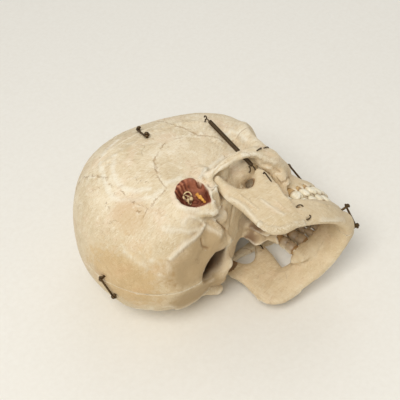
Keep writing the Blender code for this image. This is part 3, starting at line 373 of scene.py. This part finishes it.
def ear_colour(f, colour, mottle):
    """Paints the dissected ear: a red hollow with cut ribs and rings, a pink sill and a pale rim, with
    painted shade deep in the hollow.
    """
    x = f.x - EAR_HOLLOW[0]
    z = f.z - EAR_HOLLOW[1]
    u = x * math.cos(EAR_LEAN) - z * math.sin(EAR_LEAN)
    v = x * math.sin(EAR_LEAN) + z * math.cos(EAR_LEAN)
    turn = f.node("ShaderNodeMath", {"operation": "ARCTAN2"}, {0: v, 1: u})
    out = ((u / EAR_RADII[0]) ** 2.0 + (v / EAR_RADII[1]) ** 2.0).root() + (mottle - 0.5) * 0.10
    near = f.y.ease(-38.0, -42.0) * (1.0 - f.kept("below"))
    inside = f.kept("window").ease(0.25, 0.55) * near
    rim = out.ease(1.36, 1.10) * near
    rings = (out * 26.0 + mottle * 14.0).wave() * out.ease(0.84, 0.60)
    ribs = (turn * 22.0 + mottle * 9.0).wave() * out.ease(0.52, 0.80) * u.ease(4.0, -6.0)
    red = f.ramp(
        rings * 0.14 + ribs * 0.16 + mottle * 0.85 + 0.03,
        (0.22, paint(78, 32, 18)), (0.50, paint(146, 78, 50)), (0.80, paint(212, 152, 116)),
    )
    # Painted shade: the red darkens deeper in the hollow
    red = f.mix((f.y + 62.0).ease(3.0, 10.0) * 0.55, red, paint(98, 46, 28))
    red = f.mix(v.ease(2.0, 10.0) * u.ease(-8.0, 4.0) * 0.45, red, paint(198, 132, 100))
    colour = f.mix(rim * 0.50, colour, paint(240, 218, 190))
    sill = (out + (mottle - 0.5) * 0.25).ease(0.96, 1.08) * v.ease(-2.0, -7.0)
    red = f.mix(sill * 0.80, red, paint(228, 172, 140))
    return f.mix(inside, colour, red), (rings + ribs) * inside


def sawn_finish():
    """The open cells of bone in a saw cut."""
    f = Finish("sawn_bone", Specular_IOR_Level=0.3)
    cells = f.cells(1.5)
    mottle = f.noise(5.0, 5.0, 0.6)
    marks = (f.x * 5.2 + f.noise(6.0) * 6.0).wave()
    colour = f.ramp(mottle, (0.3, paint(206, 184, 144)), (0.7, paint(236, 222, 190)))
    colour = f.mix(cells.ease(0.42, 0.16) * 0.7, colour, paint(134, 98, 62))
    height = cells.ease(0.16, 0.42) * 0.5 + marks * 0.04
    return f.finish(colour, 0.62 + mottle * 0.15, height)


def tooth_finish():
    """Enamel over a yellow root, browner at the neck and in the fissures, with painted shade on the tongue's
    side.
    """
    f = Finish("tooth", Specular_IOR_Level=0.5, Coat_Roughness=0.25)
    up = f.kept("crown_share")
    mottle = f.noise(2.0, 4.0, 0.6)
    fine = f.noise(0.5, 3.0)
    edge = up + (mottle - 0.5) * 0.20
    crown = edge.ease(-0.06, 0.06)
    cracks = f.noise(1.1, 3.0, 0.6, 0.0, f.stretched((2.2, 2.2, 0.22))).ease(0.60, 0.72)
    enamel = f.ramp(mottle, (0.3, paint(224, 210, 176)), (0.7, paint(246, 240, 220)))
    enamel = f.mix(edge.ease(0.45, 0.05) * 0.45, enamel, paint(212, 184, 134))
    enamel = f.mix(cracks * 0.30, enamel, paint(150, 116, 72))
    root = f.ramp(mottle, (0.3, paint(176, 138, 84)), (0.7, paint(216, 186, 134)))
    root = f.mix(edge.ease(-0.25, -0.04) * 0.40, root, paint(132, 92, 52))
    colour = f.mix(crown, root, enamel)
    neck = edge.ease(-0.10, 0.0) * edge.ease(0.12, 0.02)
    colour = f.mix(neck * 0.60, colour, paint(128, 90, 52))
    colour = f.mix(f.kept("fissure").ease(0.45, 0.95) * 0.65, colour, paint(112, 80, 48))
    # Painted shade: the teeth are browner on the tongue's side, which lies in shade
    colour = f.mix(f.kept("tongue_side") * (0.35 + mottle * 0.5), colour, paint(146, 108, 66))
    rough = 0.50 - crown * 0.16 + mottle * 0.12
    height = mottle * 0.10 + fine * 0.04 - cracks * 0.06 - neck * 0.15 - f.kept("fissure") * 0.15
    return f.finish(colour, rough, height, coat=crown * 0.25)


def metal_finish(name, dark, light, rust, rough):
    """Old metal in patches of its own colour and of rust, brighter on its edges."""
    f = Finish(name, Metallic=0.9)
    mottle = f.noise(0.8, 5.0, 0.7)
    patches = f.noise(2.4, 3.0)
    colour = f.ramp(mottle, (0.35, dark), (0.7, light))
    colour = f.mix(patches.ease(0.5, 0.68) * 0.6, colour, rust)
    colour = f.mix(f.curvature_share(0.52, 0.62) * 0.4, colour, light)
    metal = 0.95 - patches.ease(0.5, 0.68) * 0.5
    return f.finish(colour, rough + mottle * 0.25, mottle * 0.05, metal=metal)


def painted_finish(name, light, dark, spot_colour, stripes):
    """Old paint over wax; stripes is how many dark bands there are in each 2 pi millimetres."""
    f = Finish(name, Specular_IOR_Level=0.5)
    mottle = f.noise(0.7, 4.0, 0.65)
    chips = f.noise(1.6, 3.0).ease(0.58, 0.66)
    colour = f.ramp(mottle, (0.3, dark), (0.65, light))
    if stripes:
        bands = ((f.z + f.x * 0.6) * stripes + mottle * 2.0).wave().ease(0.15, 0.65)
        colour = f.mix(bands * 0.8, colour, spot_colour)
    colour = f.mix(chips * 0.6, colour, spot_colour)
    return f.finish(colour, 0.35 + mottle * 0.3, mottle * 0.06 - chips * 0.05)


# Modelling

def only(piece):
    bpy.ops.object.select_all(action="DESELECT")
    piece.select_set(True)
    bpy.context.view_layer.objects.active = piece


def modify(piece, kind, **settings):
    only(piece)
    modifier = piece.modifiers.new(kind.lower(), kind)
    for name, value in settings.items():
        setattr(modifier, name, value)
    bpy.ops.object.modifier_apply(modifier=modifier.name)


def cast_of(node, name):
    """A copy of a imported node's mesh with its loose triangles joined."""
    mesh = frame["nodes"][node].data.copy()
    mesh.materials.clear()
    piece = bpy.data.objects.new(name, mesh)
    bpy.context.scene.collection.objects.link(piece)
    only(piece)
    bpy.ops.object.mode_set(mode="EDIT")
    bpy.ops.mesh.select_all(action="SELECT")
    bpy.ops.mesh.remove_doubles(threshold=0.01 * MM)
    bpy.ops.mesh.customdata_custom_splitnormals_clear()
    bpy.ops.object.mode_set(mode="OBJECT")
    mesh.name = name
    return piece


def pull_cut(piece, on, out, reach=1.6):
    """Draws a flat sawn face outwards, so that smoothing doesn't round its edge."""
    only(piece)
    bpy.ops.object.mode_set(mode="EDIT")
    bpy.ops.mesh.select_mode(type="FACE")
    bpy.ops.mesh.select_all(action="DESELECT")
    shape = bmesh.from_edit_mesh(piece.data)
    for face in shape.faces:
        height = (face.calc_center_median() - on).dot(out)
        face.select = face.normal.dot(out) > 0.98 and abs(height) < 0.12 * MM
    bmesh.update_edit_mesh(piece.data)
    bpy.ops.mesh.extrude_region_move(TRANSFORM_OT_translate={"value": out * (reach * MM)})
    bpy.ops.object.mode_set(mode="OBJECT")


def saw(piece, on, out):
    """Cuts off what is past a plane and closes the cut with a face of sawn bone."""
    only(piece)
    bpy.ops.object.mode_set(mode="EDIT")
    bpy.ops.mesh.select_mode(type="FACE")
    bpy.ops.mesh.select_all(action="SELECT")
    bpy.ops.mesh.bisect(plane_co=on, plane_no=out, use_fill=True, clear_outer=True)
    shape = bmesh.from_edit_mesh(piece.data)
    for face in shape.faces:
        if face.normal.dot(out) > 0.999 and abs((face.calc_center_median() - on).dot(out)) < 0.02 * MM:
            face.material_index = 1
            face.smooth = False
    bmesh.update_edit_mesh(piece.data)
    bpy.ops.object.mode_set(mode="OBJECT")


def vertices_of(piece):
    places = np.empty(len(piece.data.vertices) * 3)
    piece.data.vertices.foreach_get("co", places)
    return places.reshape(-1, 3)


def move_vertices(piece, places):
    piece.data.vertices.foreach_set("co", places.ravel())
    piece.data.update()


def keep(piece, name, values):
    """Writes one number on each point of the piece, for its finish to read."""
    attribute = piece.data.attributes.new(name, "FLOAT", "POINT")
    attribute.data.foreach_set("value", values.astype(np.float32))


def normals_of(piece):
    normals = np.empty(len(piece.data.vertices) * 3)
    piece.data.vertex_normals.foreach_get("vector", normals)
    return normals.reshape(-1, 3)


Mark = namedtuple("Mark", "look points width height kind")

# Each look is the two directions that a mark is drawn in, then the one it faces and its sign.
LOOKS = {"right": ((0, 2), 1, -1), "left": ((0, 2), 1, 1), "base": ((0, 1), 2, -1), "front": ((1, 2), 0, 1)}
# How far from its line each kind of mark is still drawn, in millimetres.
KIND_REACH = {"chalk": 6.0, "cleft": 6.0, "stain": 24.0, "rough": 4.5}
# The red of the dissected ear and the bone in front of it, forward and up in the skull.
EAR_WINDOW = [
    (-22, 5), (-16, 9), (-10, 10), (-4, 8), (-1, 4), (0, -3), (-1, -10), (-4, -16), (-9, -21), (-14, -21),
    (-19, -16), (-23, -9), (-24, -2),
]
EAR_RIM = [(-3, 11), (3, 9), (9, 9), (4, 2), (3, -5), (1, -11)]
EAR_RIM_LEVEL = -58.5
EAR_RIM_WIDTH = 9.0
EAR_RIM_SLOPE = 6.0

# The middle of the braincase and how far it reaches in each direction, in millimetres.
BRAINCASE = ((-2.0, 0.0, 34.0), (88.0, 63.0, 80.0))


def how_far(flat, line):
    """Distances of flat places from a line of points."""
    points = [np.array(p, float) for p in line]
    near = np.linalg.norm(flat - points[0], axis=1)
    for start, end in zip(points, points[1:]):
        run = end - start
        along = np.clip((flat - start) @ run / (run @ run), 0, 1)
        near = np.minimum(near, np.linalg.norm(flat - start - along[:, None] * run, axis=1))
    return near


def within(flat, outline):
    """1 well inside an outline, 0 well outside it and a half on it."""
    ring = outline + outline[:1]
    inside = np.zeros(len(flat), bool)
    for (x0, z0), (x1, z1) in zip(ring, ring[1:]):
        if z0 != z1:
            crossed = (z0 > flat[:, 1]) != (z1 > flat[:, 1])
            inside ^= crossed & (flat[:, 0] < x0 + (x1 - x0) * (flat[:, 1] - z0) / (z1 - z0))
    near = how_far(flat, ring)
    return np.clip(0.5 + np.where(inside, near, -near) / 2, 0, 1)


def raise_window_rim(piece):
    """Brings the sunken bone in front of the ear's window out to the level of its rim."""
    points = vertices_of(piece)
    places = skull_places(points)
    flat = places[:, (0, 2)]
    inward = np.clip((EAR_RIM_WIDTH - how_far(flat, EAR_RIM)) / EAR_RIM_SLOPE, 0, 1)
    seen = np.clip(-5 * (normals_of(piece) @ np.array(LEFT)) - 0.25, 0, 1) * (places[:, 1] < -40)
    short = np.maximum(0, places[:, 1] - EAR_RIM_LEVEL) * inward ** 2 * (3 - 2 * inward)
    short = short * seen * (within(flat, EAR_WINDOW) < 0.5)
    move_vertices(piece, points - np.outer(short, LEFT) * MM)


def carve(piece, marks):
    """Raises or sinks the marks in the surface, and keeps how near each point is to the drawn ones."""
    places = skull_places(vertices_of(piece))
    normals = normals_of(piece)
    facing = normals @ np.array(TURN)
    lift = np.zeros(len(places))
    drawn = {kind: np.zeros(len(places)) for kind in KIND_REACH}
    for mark in marks:
        axes, across, sign = LOOKS[mark.look]
        near = how_far(places[:, axes], mark.points)
        seen = np.clip((facing[:, across] * sign - 0.05) * 5, 0, 1)
        if across == 1:
            seen = seen * np.clip(places[:, 1] * sign / 4 - 2, 0, 1)
        round_top = 0.5 + 0.5 * np.cos(np.pi * near / mark.width)
        lift += mark.height * seen * np.where(near < mark.width, round_top, 0)
        if mark.kind:
            share = seen * np.clip(1 - near / KIND_REACH[mark.kind], 0, 1)
            drawn[mark.kind] = np.maximum(drawn[mark.kind], share)
    from_middle = (places - BRAINCASE[0]) / BRAINCASE[1]
    share_out = np.linalg.norm(from_middle, axis=1)
    turned_in = np.clip(-3 * (facing * from_middle).sum(1) / share_out, 0, 1)
    drawn["window"] = within(places[:, (0, 2)], EAR_WINDOW) * (places[:, 1] < 0)
    drawn["below"] = np.clip(-3 * facing[:, 2], 0, 1) * np.clip((-6 - places[:, 2]) / 3, 0, 1)
    drawn["inner"] = turned_in * (share_out < 1) * np.clip((places[:, 2] + 32) / 8, 0, 1)
    for kind, share in drawn.items():
        keep(piece, kind, share)
    move_vertices(piece, vertices_of(piece) + normals * lift[:, None] * MM)


def weathered(piece, size, depth):
    """Presses a cloudy unevenness into the surface."""
    texture = bpy.data.textures.new(f"{piece.name}_clouds_{size}", "CLOUDS")
    texture.noise_scale = size * MM
    texture.noise_depth = 3
    modify(piece, "DISPLACE", texture=texture, strength=depth * MM, mid_level=0.5, texture_coords="LOCAL")


def finish_piece(piece, body, slot, nodes, *materials, angle=60):
    """Gives the piece its materials, its body and the nodes that it is shown for; slot is not used."""
    for material in materials:
        piece.data.materials.append(material)
    only(piece)
    bpy.ops.object.shade_smooth_by_angle(angle=math.radians(angle))
    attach(piece, body)
    if nodes:
        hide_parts(*nodes)
    return piece


def bone(name, node, body, cuts, voxel, marks, reshape=None):
    """A skull bone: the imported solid, rounded, made fine, carved and sawn again at its cuts."""
    piece = cast_of(node, name)
    for on, out in cuts:
        pull_cut(piece, on, out)
    modify(piece, "SUBSURF", levels=2, render_levels=2)
    modify(piece, "REMESH", mode="VOXEL", voxel_size=voxel * MM, adaptivity=0.0)
    modify(piece, "SMOOTH", factor=0.5, iterations=4)
    if reshape:
        reshape(piece)
    carve(piece, marks)
    weathered(piece, 9.0, 0.7)
    weathered(piece, 2.6, 0.35)
    for on, out in cuts:
        saw(piece, on, out)
    return finish_piece(piece, body, "aged_bone", [node], aged_bone, sawn_bone)


def rounded(name, node, body, slot, material, levels=2, swell=0.0):
    """A small piece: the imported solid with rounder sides, kept to its size."""
    piece = cast_of(node, name)
    modify(piece, "SUBSURF", levels=levels, render_levels=levels)
    if swell:
        move_vertices(piece, vertices_of(piece) + normals_of(piece) * (swell * MM))
    return finish_piece(piece, body, slot, [node], material)


# The bones

aged_bone = bone_finish()
sawn_bone = sawn_finish()

# How fine the bones' surfaces are, in millimetres. Finer ones would pass 200,000 triangles in a piece.
CAP_VOXEL = 0.95
RIGHT_VOXEL = 0.985
LEFT_VOXEL = 1.1
JAW_VOXEL = 0.62

low_cut = (spot(0, 0, CAP_CUT_LOW), CROWN)
high_cut = (spot(0, 0, CAP_CUT_HIGH), -CROWN)
right_cut = (spot(0, -MIDDLE_CUT, 0), LEFT)
left_cut = (spot(0, MIDDLE_CUT, 0), -LEFT)


def both_sides(marks):
    """The marks of the right side and of one side of the base, drawn on the other as well."""
    others = []
    for mark in marks:
        if mark.look == "right":
            others.append(mark._replace(look="left"))
        else:
            others.append(mark._replace(points=[(a, -b) for a, b in mark.points]))
    return marks + others


skull_marks = both_sides([
    Mark("right", [(66, 26), (60, 40), (50, 56), (34, 66), (10, 70), (-20, 64), (-42, 69)], 4.0, 0.7, ""),
    Mark("right", [(-42, 72), (-48, 60), (-56, 43), (-57, 36), (-55, 30), (-50, 23), (-45, 18), (-37, 13),
                   (-29, 13)], 3.0, 0.18, "chalk"),
    Mark("right", [(-30, 66), (-40, 57), (-47, 44), (-47, 34), (-42, 25), (-34, 20)], 2.4, 0.06, "chalk"),
    Mark("right", [(-22, 58), (-32, 50), (-38, 40), (-36, 30)], 2.2, 0.04, ""),
    Mark("right", [(-75, 4), (-74, -3), (-72, -8), (-71, -13)], 1.6, 0.3, "chalk"),
    Mark("right", [(-26, -2), (-40, 4), (-48, 6)], 4.0, 0.8, ""),
    Mark("right", [(3, 3), (14, 8), (22, 10), (30, 12), (37, 13)], 2.6, 0.8, "chalk"),
    Mark("right", [(12, -4), (20, -2), (25, -3)], 1.6, -0.8, ""),
    Mark("right", [(40, -6), (45, -9), (49, -11), (53, -14), (56, -17), (60, -21), (66, -23), (69, -24)],
         3.4, 0.9, "rough"),
    Mark("right", [(49, -13), (52, -17), (56, -21), (62, -26)], 1.8, -1.4, ""),
    Mark("right", [(57, -26), (58, -31), (62, -33), (72, -27)], 0.9, -0.5, "cleft"),
    Mark("right", [(41, 32), (41, 26), (43, 20)], 3.0, -0.3, ""),
    Mark("right", [(54, 30), (64, 31), (64, 22), (62, 12)], 2.4, 0.4, "chalk"),
    Mark("right", [(-90, 14), (-84, 10), (-72, 4), (-56, -2)], 5.0, 0.8, ""),
    Mark("base", [(-18, -40), (-22, -39), (-30, -38), (-39, -38), (-47, -36), (-54, -33)], 2.6, 1.5, "chalk"),
    # Brown stain and painted shade on the plane below the nuchal line
    Mark("base", [(-24, -26), (-34, -20), (-46, -17)], 12.0, -1.6, "stain"),
    Mark("base", [(-46, -49), (-38, -47), (-31, -43), (-21, -40)], 1.8, 0.7, "chalk"),
    Mark("base", [(-66, -34), (-62, -31), (-58, -30), (-58, -25), (-62, -20), (-65, -22)], 1.4, 0.3, "chalk"),
    Mark("base", [(-32, -49), (-26, -53), (-20, -47), (-15, -41)], 1.8, 0.6, "chalk"),
    Mark("base", [(-11, -27)], 13.0, 6.5, ""),
    Mark("base", [(4, -31)], 8.0, 4.5, ""),
    Mark("base", [(0, -14)], 7.0, 2.0, "chalk"),
    Mark("base", [(-25, -34), (-26, -30), (-25, -27), (-22, -24)], 2.2, -1.2, "cleft"),
    Mark("base", [(7, -37), (4, -36), (0, -36), (-5, -37)], 2.2, -1.4, ""),
    Mark("base", [(20, -26), (17, -23), (14, -21), (10, -18)], 2.6, -1.6, ""),
    Mark("base", [(-5, -34), (-3, -29), (0, -25), (3, -20)], 2.6, -1.4, "cleft"),
    Mark("base", [(-78, -10), (-70, -24), (-56, -34)], 6.0, -0.6, ""),
    Mark("front", [(-20, -10)], 2.4, -1.6, "cleft"),
])
right_marks = skull_marks + [
    Mark("right", [(-28, -5), (-26, -12), (-20, -17), (-16, -22), (-12, -26)], 2.2, 0.6, "chalk"),
    Mark("right", [(-1, -9), (3, -12), (7, -11), (3, -14), (6, -17), (2, -17), (-1, -19), (-7, -20)],
         1.4, 1.0, "chalk"),
    Mark("right", [(0, -7), (-2, -13), (-5, -19), (-9, -25)], 3.0, 0.8, "rough"),
    Mark("base", [(-4, -48), (-8, -52), (-14, -54)], 3.0, 0.8, "rough"),
    Mark("right", [(3, -6), (1, -8), (1, -10), (3, -12)], 1.2, -0.4, "cleft"),
    Mark("right", [(16, 0), (12, -3), (8, -7), (6, -10)], 1.2, -0.4, ""),
    Mark("right", [(-20, 15), (-14, 13), (-10, 13)], 3.0, 0.2, "chalk"),
]
calvarium_marks = both_sides([
    Mark("right", [(50, 100), (0, 100), (-40, 96)], 8.0, 0.3, ""),
    Mark("right", [(-42, 72), (-30, 80), (-14, 84)], 2.6, 0.2, "chalk"),
])

bone("calvarium_cap", "calvarium", "calvarium", [high_cut], CAP_VOXEL, calvarium_marks)
cranium_right = bone(
    "cranium_right", "cranium_right_half", "cranium_right", [low_cut, right_cut], RIGHT_VOXEL, right_marks,
    raise_window_rim,
)
bone("cranium_left", "cranium_left_half", "cranium_left", [low_cut, left_cut], LEFT_VOXEL, skull_marks)

jaw_marks = both_sides([
    Mark("right", [(42, -63), (44, -63)], 2.4, -1.8, "cleft"),
    Mark("right", [(40, -76), (42, -76)], 2.4, -1.8, "cleft"),
    Mark("right", [(7, -18), (10, -28), (11, -37), (9, -47), (8, -56)], 2.6, 1.0, "chalk"),
    Mark("right", [(8, -56), (9, -63), (14, -69), (19, -72), (26, -74), (34, -76)], 3.0, 1.2, "rough"),
    Mark("right", [(16, -27), (16, -36), (16, -46)], 2.2, 0.7, ""),
    Mark("right", [(25, -41), (25, -52), (26, -63)], 1.6, 0.5, "chalk"),
    Mark("right", [(32, -50), (31, -60)], 1.4, 0.4, ""),
    Mark("right", [(45, -38), (40, -50), (41, -58)], 3.0, 0.9, ""),
    Mark("right", [(50, -81), (62, -84), (73, -84)], 2.2, 0.6, "chalk"),
    Mark("right", [(68, -72)], 1.8, -1.2, "cleft"),
    Mark("right", [(44, -52), (56, -62), (66, -70)], 4.0, 0.6, ""),
])
jaw_right = bone("jaw_right", "mandible_right_half", "mandible_right", [right_cut], JAW_VOXEL, jaw_marks)
bone("jaw_left", "mandible_left_half", "mandible_left", [left_cut], JAW_VOXEL, jaw_marks)

rounded("septum", "nasal_septum", "cranium_left", "thin_bone", aged_bone, 1)

# The teeth

# For each kind of tooth: cusps along the row, cusps across it and their height.
BITING_ENDS = {
    "incisor": (0, 0, 0.2), "canine": (1, 0, 1.1), "premolar": (1, 2, 1.4), "molar": (2, 2, 1.5),
}


def tooth(node, material):
    """A tooth whose neck is drawn in and whose biting end has the cusps and fissures of its kind."""
    piece = cast_of(node, f"tooth_{node}")
    corners = skull_places(vertices_of(piece))
    way = -1 if node.startswith("upper") else 1
    corners = corners[np.argsort(corners[:, 2] * way)]
    root, end = corners[:8].mean(0), corners[-8:].mean(0)
    axis = (end - root) / np.linalg.norm(end - root)
    levels = np.sort((corners - end) @ axis)
    neck = levels[16:24].mean()
    outward = end - np.array((50.0, 0.0, end[2]))
    outward = outward - axis * (outward @ axis)
    outward = outward / np.linalg.norm(outward)
    along = np.cross(axis, outward)
    wide = np.abs((corners - end) @ along).max()
    deep = np.abs((corners - end) @ outward).max()

    modify(piece, "SUBSURF", levels=3, render_levels=3)
    places = skull_places(vertices_of(piece))
    up = 1 - (places - end) @ axis / neck
    a = np.clip((places - end) @ along / wide, -1, 1)
    b = np.clip((places - end) @ outward / deep, -1, 1)
    kind = next(k for k in ("incisor", "canine", "premolar", "molar") if node.endswith(k))
    along_cusps, across_cusps, height = BITING_ENDS[kind]
    rise = np.ones(len(places))
    for share, cusps in ((a, along_cusps), (b, across_cusps)):
        if cusps == 2:
            rise = rise * np.abs(np.sin(math.pi * share)) ** 0.7
        elif cusps == 1:
            rise = rise * np.cos(math.pi / 2 * share)
    at_end = np.clip((up - 0.72) / 0.24, 0, 1)
    drawn_in = 0.18 * np.exp(-((up - 0.02) / 0.14) ** 2)
    moved = places + axis * (at_end * (rise - 0.45) * height)[:, None]
    full = 0.5 * np.exp(-((up - 0.1) / 0.35) ** 2) * np.sign(a) * np.clip(np.abs(a) * 3 - 1, 0, 1)
    moved = moved + along * full[:, None]
    moved = moved + (normals_of(piece) @ np.array(TURN)) * (0.34 - drawn_in)[:, None]
    move_vertices(piece, np.array(EARS) + (moved * MM) @ np.array(TURN).T)
    keep(piece, "crown_share", up)
    keep(piece, "fissure", at_end * (1 - rise) * (across_cusps == 2))
    keep(piece, "tongue_side", np.clip(0.4 - b * 1.5, 0, 1))
    finish_piece(piece, body_of[node], "tooth", [node], material)


enamel = tooth_finish()
body_of = {node: obj["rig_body"] for node, obj in frame["nodes"].items()}
for node in sorted(frame["nodes"]):
    if node.startswith(("upper_", "lower_")):
        tooth(node, enamel)

# The fittings

dark_brass = metal_finish("dark_brass", paint(66, 50, 32), paint(124, 100, 68), paint(96, 74, 40), 0.36)
dark_steel = metal_finish("dark_steel", paint(56, 44, 32), paint(116, 98, 74), paint(88, 60, 36), 0.34)
for node in sorted(frame["nodes"]):
    if node.endswith(("_hook", "_pin")):
        rounded(f"fitting_{node}", node, body_of[node], "dark_brass", dark_brass, 2, 0.20)
    elif node.endswith(("_anchor", "_jaw_wire")) or node.startswith("cheek_staple"):
        rounded(f"fitting_{node}", node, body_of[node], "dark_steel", dark_steel, 2, 0.06)

canal_paint = painted_finish(
    "canal_paint", paint(240, 218, 168), paint(206, 172, 122), paint(86, 46, 26), 1.3,
)
nerve_paint = painted_finish(
    "nerve_paint", paint(244, 190, 92), paint(216, 140, 52), paint(150, 82, 34), 0.0,
)
rounded("canals", "inner_ear_canals", "cranium_right", "canal_paint", canal_paint, 1, 0.10)
nerve = rounded("nerve", "facial_nerve", "cranium_right", "nerve_paint", nerve_paint, 3, 0.45)
weathered(nerve, 2.4, 2.2)


def wire_eye(name, bone_piece, place, body, wide=3.0, spin=0.0):
    """A small wire staple half sunk in the bone, where an old spring or tie was fastened."""
    tree = BVHTree.FromObject(bone_piece, bpy.context.evaluated_depsgraph_get())
    seat, normal, _, _ = tree.find_nearest(spot(*place))
    bpy.ops.object.select_all(action="DESELECT")
    bpy.ops.mesh.primitive_torus_add(
        major_radius=wide * MM, minor_radius=0.55 * MM, major_segments=28, minor_segments=8,
        location=(0, 0, 0),
    )
    ring = bpy.context.view_layer.objects.active
    ring.name = ring.data.name = name
    bpy.ops.object.mode_set(mode="EDIT")
    bpy.ops.mesh.select_all(action="SELECT")
    bpy.ops.mesh.bisect(plane_co=(0, -0.9 * MM, 0), plane_no=(0, -1, 0), use_fill=True, clear_outer=True)
    bpy.ops.object.mode_set(mode="OBJECT")
    along = (FORWARD - normal * FORWARD.dot(normal)).normalized()
    along = Matrix.Rotation(spin, 3, normal) @ along
    turn = Matrix((along, normal, along.cross(normal))).transposed().to_4x4()
    squeeze = Matrix.Diagonal((1.0, 0.75, 1.0, 1.0))
    ring.matrix_world = Matrix.Translation(seat) @ turn @ squeeze
    only(ring)
    bpy.ops.object.transform_apply(location=True, rotation=True, scale=True)
    bpy.ops.object.mode_set(mode="EDIT")
    bpy.ops.mesh.select_all(action="SELECT")
    bpy.ops.mesh.normals_make_consistent(inside=False)
    bpy.ops.object.mode_set(mode="OBJECT")
    finish_piece(ring, body, "dark_steel", [], dark_steel, angle=50)


wire_eye("jaw_eye_high", jaw_right, (43.2, -45.9, -63.4), "mandible_right")
wire_eye("jaw_eye_low", jaw_right, (40.8, -44.1, -75.9), "mandible_right")
wire_eye("temple_eye", cranium_right, (48.0, -40.0, -5.0), "cranium_right", 2.3, math.radians(70))


def coil_spring(side):
    """A close-wound spring with straight leads, drawn as one wire."""
    start, end = (Vector(p) * MM for p in SPRING_ENDS[side])
    axis = (end - start).normalized()
    across = axis.orthogonal().normalized()
    up = axis.cross(across)
    lead = SPRING_LEADS[0] * MM
    coil = (end - start).length - sum(SPRING_LEADS) * MM
    radius = (SPRING_OUTER - SPRING_WIRE) / 2 * MM
    points = [start]
    steps = SPRING_TURNS * SPRING_STEPS
    for k in range(steps + 1):
        turn = 2 * math.pi * k / SPRING_STEPS
        ends = min(1.0, min(k, steps - k) / SPRING_STEPS)
        out = radius * math.sin(ends * math.pi / 2)
        along = start + axis * (lead + coil * k / steps)
        points.append(along + (across * math.cos(turn) + up * math.sin(turn)) * out)
    points.append(end)
    curve = bpy.data.curves.new(f"spring_{side}", "CURVE")
    curve.dimensions = "3D"
    curve.bevel_depth = SPRING_WIRE / 2 * MM
    curve.bevel_resolution = 2
    curve.use_fill_caps = True
    spline = curve.splines.new("POLY")
    spline.points.add(len(points) - 1)
    for point, place in zip(spline.points, points):
        point.co = (*place, 1.0)
    wire = bpy.data.objects.new(f"spring_{side}", curve)
    bpy.context.scene.collection.objects.link(wire)
    only(wire)
    bpy.ops.object.convert(target="MESH")
    wire = bpy.context.view_layer.objects.active
    wire.data.materials.clear()
    wire.data.materials.append(dark_steel)
    bpy.ops.object.shade_smooth_by_angle(angle=math.radians(60))
    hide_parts(f"{side}_jaw_spring")
    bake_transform(wire)


coil_spring("right")
coil_spring("left")

# The studio

CAMERA_PLACE = Vector((-292.45, -372.73, 592.34)) * MM
CAMERA_RIGHT = Vector((0.7311, -0.6789, -0.0684))
CAMERA_UP = Vector((0.532, 0.5043, 0.6801))
CAMERA_LENS = 76.86


def camera():
    """The photograph's camera, high behind the right ear and looking along the face."""
    right = CAMERA_RIGHT.normalized()
    up = (CAMERA_UP - right * CAMERA_UP.dot(right)).normalized()
    back = right.cross(up)
    data = bpy.data.cameras.new("camera")
    data.lens = CAMERA_LENS
    data.sensor_width = 36.0
    made = bpy.data.objects.new("camera", data)
    bpy.context.scene.collection.objects.link(made)
    turn = Matrix((right, up, back)).transposed().to_4x4()
    made.matrix_world = Matrix.Translation(CAMERA_PLACE) @ turn
    bpy.context.scene.camera = made


def lamp(name, place, target, size, power, tint):
    """A round soft lamp, turned to the target."""
    data = bpy.data.lights.new(name, "AREA")
    data.shape = "DISK"
    data.size = size
    data.energy = power
    data.color = tint
    made = bpy.data.objects.new(name, data)
    bpy.context.scene.collection.objects.link(made)
    made.location = place
    made.rotation_mode = "QUATERNION"
    made.rotation_quaternion = (Vector(target) - Vector(place)).to_track_quat("-Z", "Y")


def studio():
    """A plain pale floor, a pale sky and two soft lamps."""
    bpy.ops.object.select_all(action="DESELECT")
    bpy.ops.mesh.primitive_plane_add(size=6.0, location=(0, 0, 0))
    floor = bpy.context.view_layer.objects.active
    floor.name = "floor"
    f = Finish("floor_paper", Specular_IOR_Level=0.2)
    grain = f.noise(4.0, 4.0)
    floor.data.materials.append(f.finish(
        f.ramp(grain, (0.2, paint(236, 232, 222)), (0.8, paint(241, 238, 229))), 0.85 + grain * 0.05,
    ))
    world = bpy.data.worlds.new("studio")
    world.use_nodes = True
    back = world.node_tree.nodes["Background"]
    back.inputs["Color"].default_value = paint(250, 250, 250)
    back.inputs["Strength"].default_value = 0.50
    bpy.context.scene.world = world
    skull_middle = (0, 0, 0.06)
    lamp("key", (-0.75, -0.40, 1.45), skull_middle, 0.8, 15.6, (1.0, 0.98, 0.95))
    lamp("fill", (0.9, 0.6, 1.2), skull_middle, 1.2, 3.0, (0.97, 0.98, 1.0))


camera()
studio()
bpy.context.scene.view_settings.view_transform = "Standard"
